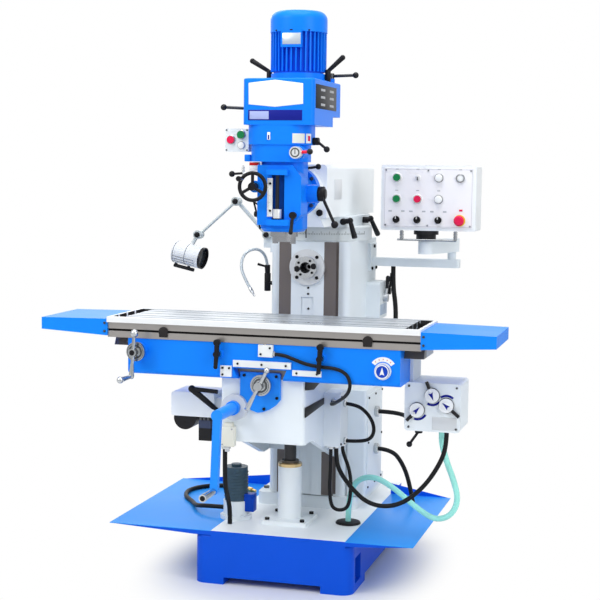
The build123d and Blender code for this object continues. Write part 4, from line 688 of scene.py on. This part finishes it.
piece("wiper_screws", black_screw, "saddle", *screws(on_face(saddle_front - 8, wiper_screws), 4),
      *screws([(x, saddle_front - 14, z) for x, z in ((42, 938), (8, 915))], 4))
piece("saddle_switch_trim", bright_steel, "saddle", bar((20, -717, 946), (20, -717, 949.8), 6, edge=1),
      hex_head((52, -717.5, 916), RIGHT, 10.5))
selector, selector_face = (452, 874), -728
dress(finish("selector_blue", (0.01, 0.055, 0.45), 0.3, mirror=0.1, zones=[
    ({"y": (-718.5, -700)}, cloud, 0.3, 0)]), "feed_selector")
arrow = ((0, 16), (8.5, -13), (2.5, -9.5), (-2.5, -9.5), (-8.5, -13))
piece("selector_arrow", ivory, "feed_selector_body",
      ring((selector[0], selector_face, selector[1]), 21.2, 24.5, 1.2),
      cut_plate([(selector[0] + x, selector_face + 0.4, selector[1] + z) for x, z in arrow],
                (0, -1.4, 0), 0.3))
piece("selector_arc_scale", ivory, "saddle", arc_plate(selector, saddle_front, 34, 50, 35, 110))
piece("selector_arc_marks", red, "saddle",
      *[radial_block("Y", selector, 42, math.radians(angle), 2.2, 1.2,
                     (saddle_front - 2, saddle_front - 1.1)) for angle in range(50, 131, 20)])

# Feed gearbox: a white box on a bracket plate, with three white dials in dark rims and short black handles.
# A bare chart plate fills the corner below the dials and a small ball lever hangs under the box.
dress(white_paint, "feed_gearbox")
gearbox_front = -550
navy = finish("plate_navy", (0.01, 0.016, 0.24), 0.3, mirror=0.1)
dials = {"upper": ((600, 772), (-21, 50), 280), "left": ((546, 717), (-36, -39), 292),
         "right": ((652, 739), (47, -39), 88)}
for which, ((x, z), handle, _) in dials.items():
    name = "gearbox_dial_" + which
    dress(finish(name + "_finish", ink, 0.3, zones=[
        ({"near": (x, gearbox_front - 6, z), "radius": 27.5}, (0.83, 0.85, 0.86), 0.3, 0)]), name)
    along = Vector((handle[0], 0, handle[1])).normalized()
    across = Vector((along.z, 0, -along.x))
    middle = Vector((x, gearbox_front - 15.8, z))
    barb = ((-17.5, 0), (12.5, 8.5), (8.5, 0), (12.5, -8.5))
    piece(name + "_pointer", navy, name + "_body",
          cut_plate([middle + along * a + across * c for a, c in barb], (0, -0.8, 0), 0.2))
piece("gearbox_dial_rims", dark_steel, "saddle",
      *[ring((x, gearbox_front, z), 26.2, 27.9, 7) for (x, z), _, _ in dials.values()])
piece("gearbox_dial_arcs", navy, "saddle",
      *[arc_plate(centre, gearbox_front, 30.5, 38.5, middle - 40, 80, 1)
        for centre, _, middle in dials.values()])
piece("gearbox_chart_plate", finish("chart_silver", (0.62, 0.65, 0.68), 0.3, metal=0.35),
      "saddle", plate((601, 690), gearbox_front, (648, 695), 1.2, 0.5))
piece("gearbox_screws", dark_steel, "saddle", *screws(grid((515, 688), gearbox_front, (654, 803)), 4))
under_tip = (508, -490, 578)
piece("gearbox_under_lever", black, "saddle", bar((540, -480, 641), (540, -480, 620), 14, edge=2),
      bar((540, -480, 626), under_tip, 5), ball(under_tip, 11))

# Table: ground cast iron with three T-slots, drained by gutters, and blue folded wings on both ends.
# Grinding leaves fine lines along the length, and two stop dogs are clamped in the front slot.
# Painted reflection: the rim's top is coloured near white for the white surround reflected in it.
rim_reflection_white = (0.84, 0.855, 0.865)
rim_low, table_face, dog_z = 1005.5, -712.7, 978
dress(finish("ground_iron", (0.5, 0.54, 0.585), 0.3, 0.6, mottle=0.07, skin=220, stretch=(0.03, 1, 1), zones=[
    ({"y": (table_face, -600), "z": (900, rim_low)}, (0.2, 0.19, 0.185), 0.35, 0.7),
    ({"y": (-714, table_face), "z": (900, rim_low)}, (0.4, 0.375, 0.355), 0.3, 0.75),
    # Painted shade: the front slot's opening is coloured near black.
    ({"y": (-712.5, -700), "z": (973.5, 982.5)}, (0.012, 0.011, 0.011), 0.5, 0.2),
    # Painted reflection: the rim's top along the front and at both ends is near white.
    ({"y": (-726, -705), "z": (rim_low, 1030)}, rim_reflection_white, 0.3, 0.15),
    ({"x": (573.2, 590), "z": (rim_low, 1030), "both_sides": True}, rim_reflection_white, 0.3, 0.15),
    # Painted shade: the gutters' insides at both ends are coloured near black.
    ({"x": (524.8, 573.2), "y": (-705, -405), "z": (990, 1025.4), "both_sides": True},
     (0.03, 0.03, 0.033), 0.4, 0.3)]), "table")
dress(finish("wing_paint", (0.008, 0.235, 0.9), 0.33, mirror=0.1), "table_wings")


def stop_dog(x):
    return (bar((x, -712, dog_z), (x, -722, dog_z), 18, edge=3),
            block(span(x, 16), (-720, -712), (958, dog_z), 2))


piece("table_stop_dogs", finish("dog_black", (0.022, 0.02, 0.02), 0.4, metal=0.3),
      "table", *stop_dog(-366), *stop_dog(396))
piece("wing_screws", dark_steel, "table", *screws(grid((-595, 595), -720, (972, 1002)), 4.5))

# Turret and ram: a pale graduated ring turns on the column, and the white ram slides through its dovetail.
# Two black levers clamp the ram, and a bare plate covers its side.
dress(finish("turret_paint", cloud, 0.36, zones=[({"z": (1280, 1345.5)}, (0.66, 0.7, 0.72), 0.34, 0.2)]),
      "turret")
# Painted light: the ram's white is set lighter than the machine's other white to make up for the shade on its
# side.
dress(finish("ram_paint", (0.9, 0.935, 0.955), 0.36), "ram")
ring_centre, ring_radius, ring_low = (0, 200), 195, 1310
piece("turret_graduation", black, "turret_body",
      *[radial_block("Z", ring_centre, ring_radius, math.radians(step - 90), 0.6, 0.6,
                     (ring_low, ring_low + (7 if step % 10 else 14))) for step in range(-70, 71, 2)])
for name, hub, out, elbow, tip in (
        ("ram_clamp_front", (130, 1, 1366), (0, -24, 0), (160, -22, 1371), (184, -36, 1302)),
        ("ram_clamp_back", (149, 250, 1366), (24, 0, 0), (180, 262, 1371), (196, 335, 1302))):
    hub, out = Vector(hub), Vector(out)
    piece(name, black, "turret_body", bar(hub, hub + out, 13, edge=2),
          bar(hub + out * 0.8, elbow, 10.5, edge=2), ball(elbow, 12.5), bar(elbow, tip, 8.5, 11.5, edge=3))
piece("ram_side_plate", finish("plate_off_white", (0.74, 0.76, 0.78), 0.32, metal=0.2),
      "ram_body", block((109.5, 111.3), (-90, 30), (1455, 1535), 0.6))
piece("ram_bolt_cap", black, "ram_body", bar((83, -206, 1406), (83, -217, 1406), 13, edge=2))
piece("head_clamp_nuts", dark_steel, "head",
      *[hex_head(at, FRONT, 7.8) for at in around((0, -292, 1487), 88.5, (35, 145, 215, 325))])

# Head: blue castings stacked as quill housing, gear head and belt housing, with the motor on top.
# The depth rod runs in a slot painted a darker blue as painted shade, with a bright stop nut, beside a white
# scale held by two screws.
azure = (0.006, 0.205, 0.88)
dress(finish("head_paint", azure, 0.32, mirror=0.1, zones=[
    # Painted shade: the depth slot is coloured a darker blue.
    ({"x": (-24.5, 24.5), "y": (-499.5, -477), "z": (1387.5, 1556.5)}, (0.004, 0.075, 0.42), 0.45, 0),
    ({"x": (-7.5, 7.5), "y": (-517, -499), "z": (1388.5, 1551.5)}, (0.02, 0.022, 0.03), 0.4, 0.3),
    ({"x": (-16.5, 16.5), "y": (-526, -488), "z": (1392.5, 1426.5)}, (0.74, 0.76, 0.77), 0.3, 0.6),
    ({"x": (-40.5, -19.5), "y": (-506, -500.5), "z": (1397.5, 1540.5)}, (0.84, 0.86, 0.87), 0.34, 0)]),
      "head_casting")
upper_blue = finish("upper_head_paint", azure, 0.32, mirror=0.1)
dress(upper_blue, "gear_head", "belt_housing")
motor_axis, cowl_radius = (0, -240), 109.2
# Painted shade: the motor's core between its cooling fins is a deeper blue for the shade in the grooves.
dress(finish("motor_paint", azure, 0.32, mirror=0.1, zones=[
    ({"core": motor_axis, "radius": 99, "z": (1936.5, 2089.5)}, (0.003, 0.088, 0.6), 0.4, 0)]), "motor")
# Painted shade: black blocks at the cowl's lower rim stand for its notches and the shade inside them.
cowl_rim = [(x, motor_axis[1] - math.sqrt(cowl_radius ** 2 - x ** 2)) for x in (-62, 0, 62)]
piece("motor_cowl_notches", black, "head",
      *[block(span(x, 5.5), (y - 0.8, y + 6), (2091.5, 2096.5), 0.4) for x, y in cowl_rim])
dress(finish("quill_steel", (0.4, 0.41, 0.43), 0.22, metal=1, skin=260, skin_depth=0.06),
      "quill", "vertical_spindle")
scale_left, scale_low, scale_pitch = -39.5, 1400, 5
piece("depth_scale_marks", black, "head",
      *[block((scale_left, scale_left + (6 if step % 5 else 10)), (-505.3, -504.6),
              span(scale_low + scale_pitch * step, 0.3)) for step in range(29)],
      *screws(grid([-28.5], -505, (1420, 1520)), 4.2))
belt_front, belt_side = -516, 136
badge = ((-112, 1887), (-11, 1898), (95, 1885), (96, 1811), (-10, 1800), (-111, 1809))
piece("belt_front_plate", finish("plate_white", (0.88, 0.89, 0.9), 0.3), "head",
      cut_plate(on_face(belt_front + 0.5, badge), (0, -2.2, 0), 0.6))
piece("belt_navy_plate", navy, "head", plate((-113, 93), belt_front, (1751, 1789), 1.6, 0.8))
piece("belt_pale_cell", finish("cell_pale_blue", (0.36, 0.42, 0.72), 0.32), "head",
      block((-107, -34), (belt_front - 2.2, belt_front - 1), (1755, 1784), 0.3))
piece("belt_side_chart", finish("chart_black", (0.012, 0.013, 0.018), 0.34, mirror=0.1),
      "head", block((belt_side - 1, belt_side + 1.6), (-488, -185), (1797, 1885), 0.8))
cells = [(-420 + 130 * column, 1808 + 27 * row) for column in range(2) for row in range(3)]
piece("belt_side_cells", finish("cell_grey", (0.36, 0.37, 0.39), 0.35), "head",
      *[block((belt_side + 1, belt_side + 2.1), (y, y + 62), (z, z + 9), 0.3) for y, z in cells])
tag_front, fan_top = -353.4, 2171.5
piece("motor_tag", finish("tag_silver", (0.55, 0.6, 0.64), 0.3, metal=0.5), "head",
      block((-33, 38), (tag_front, -351.5), (2040, 2082), 0.8),
      *screws(grid((-28, 33), tag_front, [2061]), 2))
piece("motor_fan_slots", black, "head",
      *[radial_block("Z", motor_axis, 52, math.tau * step / 24, 15, 2.2, (fan_top, fan_top + 1.2),
                     0.4) for step in range(24)])
corner_centre, corner_radius = Vector((42, -445, 0)), 70


def wrapped_plate(first, last, z, lift=0):
    """A thin plate bent round the gear head's front right corner, between two angles in degrees."""
    def add(form):
        start = Vector((math.cos(math.radians(first)), math.sin(math.radians(first)), 0))
        inner, outer = (corner_radius + lift + out for out in (-0.3, 1.2))
        end = flat_face(form, [corner_centre + start * r + Vector((0, 0, h))
                               for r, h in ((inner, z[0]), (outer, z[0]), (outer, z[1]), (inner, z[1]))])
        sweep(form, [end], corner_centre, UP, math.radians(last - first), 12)
    return add


piece("gear_cream_plate", finish("plate_cream", (0.72, 0.74, 0.66), 0.32), "head",
      wrapped_plate(-78, -40, (1669, 1704)))
piece("gear_small_plate", ivory, "head", wrapped_plate(-34, -10, (1669, 1704)))
piece("gear_small_mark", red, "head", wrapped_plate(-27, -17, (1677, 1696), lift=1.1))
piece("gear_oil_gauge", ivory, "head", block((-39, -27), (-519, -514.5), (1680, 1708), 2), slot="lamp_white")
piece("gear_oil_slot", navy, "head", block((-35.5, -30.5), (-519.6, -518.5), (1682, 1698), 0.5))

# Levers of the head: dark arms with black balls, a black handwheel and the motor's two clamp levers.
# Fixed small levers, the feed clutch and a trip rod stand beside them as on the real head.
for node, tip in (("gear_lever", (-245, -405, 1803)), ("brake_lever", (206, -160, 1936))):
    dress(finish(node + "_finish", (0.06, 0.062, 0.066), 0.3, metal=0.8, zones=[
        ({"near": tip, "radius": 12.5}, ink, 0.22, 0)]), node)
dress(finish("feed_dial_finish", (0.7, 0.72, 0.73), 0.28, metal=0.6, zones=[
    ({"x": (101.2, 121.5)}, (0.78, 0.012, 0.045), 0.3, 0),
    ({"near": (132, -545, 1638), "radius": 11.8}, ink, 0.22, 0)]), "feed_dial_lever")
piece("feed_dial_marks", dark_steel, "feed_dial_lever_body", ring((79, -557.3, 1634), 12.5, 17.5, 0.8),
      block((77.5, 80.5), (-558.3, -557), (1628, 1646), 0.3))
dress(black, "quill_lever", "quill_lock_lever", "handwheel")
lever_hub, lever_ball = Vector((127.5, -398, 1483)), Vector((188, -385, 1369))
piece("down_feed_lever", black, "quill_lever_body",
      bar(lever_hub, lever_hub + Vector((24, 0, 0)), 28, edge=4, sides=40),
      bar(lever_hub + Vector((22, 0, 0)), lever_hub + Vector((29, 0, 0)), 19, edge=3),
      bar(lever_hub + Vector((16, 0, -14)), lever_ball, 5.8), ball(lever_ball, 14), instead_of="quill_lever")
for which, x, tip in (("left", -116.5, (-185, -240, 1987)), ("right", 116.5, (173, -240, 1997))):
    piece("motor_clamp_" + which, black, "head", bar((x, -240, 1904.5), (x, -240, 1952), 10.8, edge=2),
          bar((x, -240, 1946), tip, 7.5, 10, edge=2), ball(tip, 10.5))
right_tip, small_tip, clutch_tip = (165, -430, 1648), (107, -330, 1584), (-189, -470, 1553)
piece("gear_right_lever", black, "head", bar((110.5, -430, 1677), (136, -430, 1677), 14, edge=2),
      bar((128, -430, 1677), right_tip, 5), ball(right_tip, 11.5))
piece("head_small_lever", black, "head", bar((60, -352, 1576), small_tip, 5), ball(small_tip, 11))
piece("clutch_boss", upper_blue, "head", block((-142, -117.5), (-470, -430), (1600, 1626), 4))
piece("clutch_box", ivory, "head", block((-118, -79.5), (-484, -462), (1566, 1598), 2))
piece("clutch_red_strip", finish("strip_red", (0.55, 0.012, 0.012), 0.35), "head",
      block((-116.5, -81), (-485.2, -483), (1586, 1597), 0.4))
clutch_axis = (-145, -470)
piece("clutch_rod", bright_steel, "head", bar((-79.5, -470, 1560), (-150, -470, 1556), 4.2),
      bar((*clutch_axis, 1532), (*clutch_axis, 1585), 3.5), *coils(clutch_axis, 1562, 3.2, 6, 2, 6, 0.6, 18))
piece("clutch_ball", black, "head", bar((-146, -470, 1556.2), clutch_tip, 4.5), ball(clutch_tip, 11.5))
trip_top, trip_knee, trip_end = (-100, -480, 1452), (-88, -472, 1400), (-81.5, -458, 1352)
piece("quill_trip_lever", black, "head", bar((-79, -485, 1406), (-94.5, -485, 1406), 11, edge=2),
      bar(trip_top, trip_knee, 3.5), ball(trip_knee, 3.6), bar(trip_knee, trip_end, 3.5), ball(trip_end, 3.6),
      bar((-79, -480, 1440), (-101, -480, 1450), 3.5))
piece("hanging_rod", dark_steel, "head", bar((62, -326, 1314), (62, -326, 1440), 2.8, edge=0.6, sides=14))

# Button box on the gear head's left: a white station with a red and a green button and a small lamp.
# The buttons sit in plated rings and four screws hold the lid.
dress(white_paint, "button_box")
dress(red, "head_red_button")
dress(green, "head_green_button")
station_front, lamp_x, lamp_z = -455, -158, 1660
piece("station_button_rings", bright_steel, "head",
      *[ring((x, station_front, z), 14.5, 17.5, 5) for x, z in ((-198, 1680), (-158, 1699))],
      ring((lamp_x, station_front, lamp_z), 12.5, 15, 4))
piece("station_lamp", ivory, "head",
      bar((lamp_x, station_front + 2, lamp_z), (lamp_x, station_front - 9, lamp_z), 12.4, edge=3),
      slot="lamp_white")
piece("station_screws", dark_steel, "head", *screws(grid((-216, -136), station_front, (1642, 1716)), 2.8))


# Hoses and cables: a clear aqua drain hose and black sheathed cables.
# Those that cross a slide are left loose in the world, and the others ride on the frame or the knee.
def hose(name, node, diameter, points, bend=None, material=black_sheath):
    """A round hose along a route, left loose in the world where bend is given, or else riding on the frame or
    the knee.
    """
    line = bpy.data.curves.new(name + "_line", "CURVE")
    line.dimensions = "3D"
    line.resolution_u = 8
    spline = line.splines.new("NURBS")
    spline.points.add(len(points) - 1)
    for point, place in zip(spline.points, points):
        point.co = (*metres(place), 1)
    spline.order_u = 3
    spline.use_endpoint_u = True
    holder = bpy.data.objects.new(name + "_line", line)
    bare = bpy.data.meshes.new_from_object(holder)
    line.bevel_depth = diameter / 2000
    line.bevel_resolution = 4
    line.use_fill_caps = True
    mesh = bpy.data.meshes.new_from_object(holder)
    bpy.data.objects.remove(holder)
    mesh.materials.clear()
    mesh.materials.append(material)
    mesh.polygons.foreach_set("use_smooth", [True] * len(mesh.polygons))
    tube = bpy.data.objects.new(name, mesh)
    studio.collection.objects.link(tube)
    if bend:
        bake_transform(tube)
    else:
        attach(tube, "knee" if node == "knee_cables" else "frame")
    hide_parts(node)


def fitting(name, material, end, way, *steps):
    """A turned end on a hose. Each step is (start, stop, radius, end radius, edge) along its way."""
    end, way = Vector(end), Vector(way).normalized()
    return piece(name, material, "frame",
                 *[bar(end + way * start, end + way * stop, *sizes) for start, stop, *sizes in steps])


aqua = finish("aqua_hose", (0.36, 0.86, 0.77), 0.16, mottle=0.1, skin=120)
drain_split, cable_split, belly_split = (672, -432, 417.5), (443, -10, 581.5), (589.5, -482, 460)
hose("drain_hose_low", "frame_hoses", 22,
     [(228, -260, 213), (228, -260, 305), (262, -277, 384), (340, -308, 410), (424, -334, 374),
      (504, -356, 318), (572, -376, 282), (612, -388, 282), (650, -400, 302), (673, -412, 339),
      (680, -424, 384), drain_split], ("frame", "knee", (270, 0, 0), (645, 0, 0)), aqua)
hose("drain_hose_high", "frame_hoses", 22,
     [drain_split, (664, -440, 451), (642, -454, 512), (627, -466, 572), (623, -470, 604), (624, -470, 640)],
     ("knee", "saddle", (0, 0, 420), (0, 0, 600)), aqua)
hose("cabinet_cable_low", "frame_hoses", 18,
     [(262, 120, 430), (318, 121, 427), (358, 139, 374), (386, 156, 294), (402, 160, 205)])
hose("cabinet_cable_high", "frame_hoses", 18,
     [(262, 120, 585), (340, 120, 585), (410, 40, 578), cable_split],
     ("frame", "knee", (330, 120, 0), (443, -10, 0)))
hose("gearbox_back_cable", "frame_hoses", 18,
     [cable_split, (476, -60, 585), (550, -150, 630), (606, -240, 685), (606, -365, 685)],
     ("knee", "saddle", (450, -20, 0), (606, -300, 0)))
hose("arm_conduit", "frame_hoses", 20,
     [(262, 350, 1170), (262, 350, 1085), (282, 318, 1005), (290, 284, 925), (276, 252, 850), (248, 230, 790),
      (230, 219, 748), (224, 215, 720), (224, 215, 690)])
nipple = fitting("tray_hose_nipple", finish("brass", (0.7, 0.47, 0.18), 0.3, metal=1),
                 (-290, 130, 214), (80, -50, 0),
                 (-18, 6, 10.5, None, 1.5), (4, 30, 6, None, 1))
hose("tray_hose", "frame_hoses", 18,
     [(-265.5, -305, 242), (-340, -305, 242), (-405, -245, 224), (-450, -150, 214), (-520, -60, 214),
      (-545, 60, 214), (-480, 160, 214), (-370, 180, 214), (-290, 130, 214)])
nozzle = fitting("coolant_nozzle", bright_steel, (-214, -132, 1086), (32, -12, -44),
                 (-14, 4, 7.5, None, 1), (3, 26, 6.2, 3.5, 0.6))
hose("coolant_pipe", "frame_hoses", 12,
     [(-186, -5, 1150), (-186, -5, 1210), (-214, -44, 1254), (-258, -82, 1240), (-272, -104, 1186),
      (-246, -120, 1130), (-214, -132, 1086)],
     material=finish("pipe_grey", (0.47, 0.52, 0.55), 0.3, metal=0.3, skin_depth=0.03))
hose("long_loop", "knee_cables", 14,
     [(186, -385, 530), (186, -385, 440), (180, -378, 370), (185, -368, 298), (204.3, -360, 279),
      (231.7, -350, 279), (251, -344, 298), (256, -334, 376), (244, -324, 436), (222, -316, 482),
      (214, -314, 506), (214, -314, 530)], ("frame", "knee", (0, 0, 290), (0, 0, 500)))
hose("small_loop", "knee_cables", 14,
     [(225, -350, 690), (274, -350, 690), (322, -348, 655), (346, -346, 606), (336, -343, 562),
      (292, -340, 545), (225, -340, 545)])
hose("switch_hose", "knee_cables", 18,
     [(-186, -536, 535), (-186, -536, 450), (-196, -500, 370), (-204, -440, 310), (-206, -410, 262),
      (-206, -410, 205)], ("frame", "knee", (0, 0, 230), (0, 0, 450)))
hose("saddle_cable", "saddle_cables", 13,
     [(52, -717.5, 916), (88, -717.5, 916), (132, -717.5, 900), (180, -717.5, 884), (236, -717.5, 878),
      (286, -717.5, 876), (324, -717.5, 858), (338, -719.5, 824), (331, -715, 793), (304, -678, 766),
      (262, -600, 738), (226, -520, 714), (200, -455, 703), (200, -400, 703)],
     ("knee", "saddle", (0, -460, 0), (0, -690, 0)))
hose("gearbox_cable", "saddle_cables", 17,
     [(648, -510, 640), (648, -510, 575), (616, -490, 500), belly_split],
     ("knee", "saddle", (592, 0, 466), (648, 0, 620)))
hose("gearbox_cable_belly", "saddle_cables", 17,
     [belly_split, (563, -474, 420), (489, -456, 352), (414, -440, 324), (338, -425, 332), (276, -410, 378),
      (222, -380, 430), (202, -366, 475), (202, -366, 530)],
     ("frame", "knee", (35.6, 0, 196.8), (99.2, 0, 548.7)))
piece("coolant_cock", black, "frame", bar((-186, -5, 1077), (-186, -5, 1150), 13, edge=2),
      bar((-190, -5, 1110), (-164, -5, 1110), 8), bar((-186, -5, 1148), (-187, -6, 1184), 10.5, 11.8, edge=2),
      bar((-190, -8, 1176), (-226, -14, 1186), 4, 5.5, edge=1), instead_of="frame_hoses")
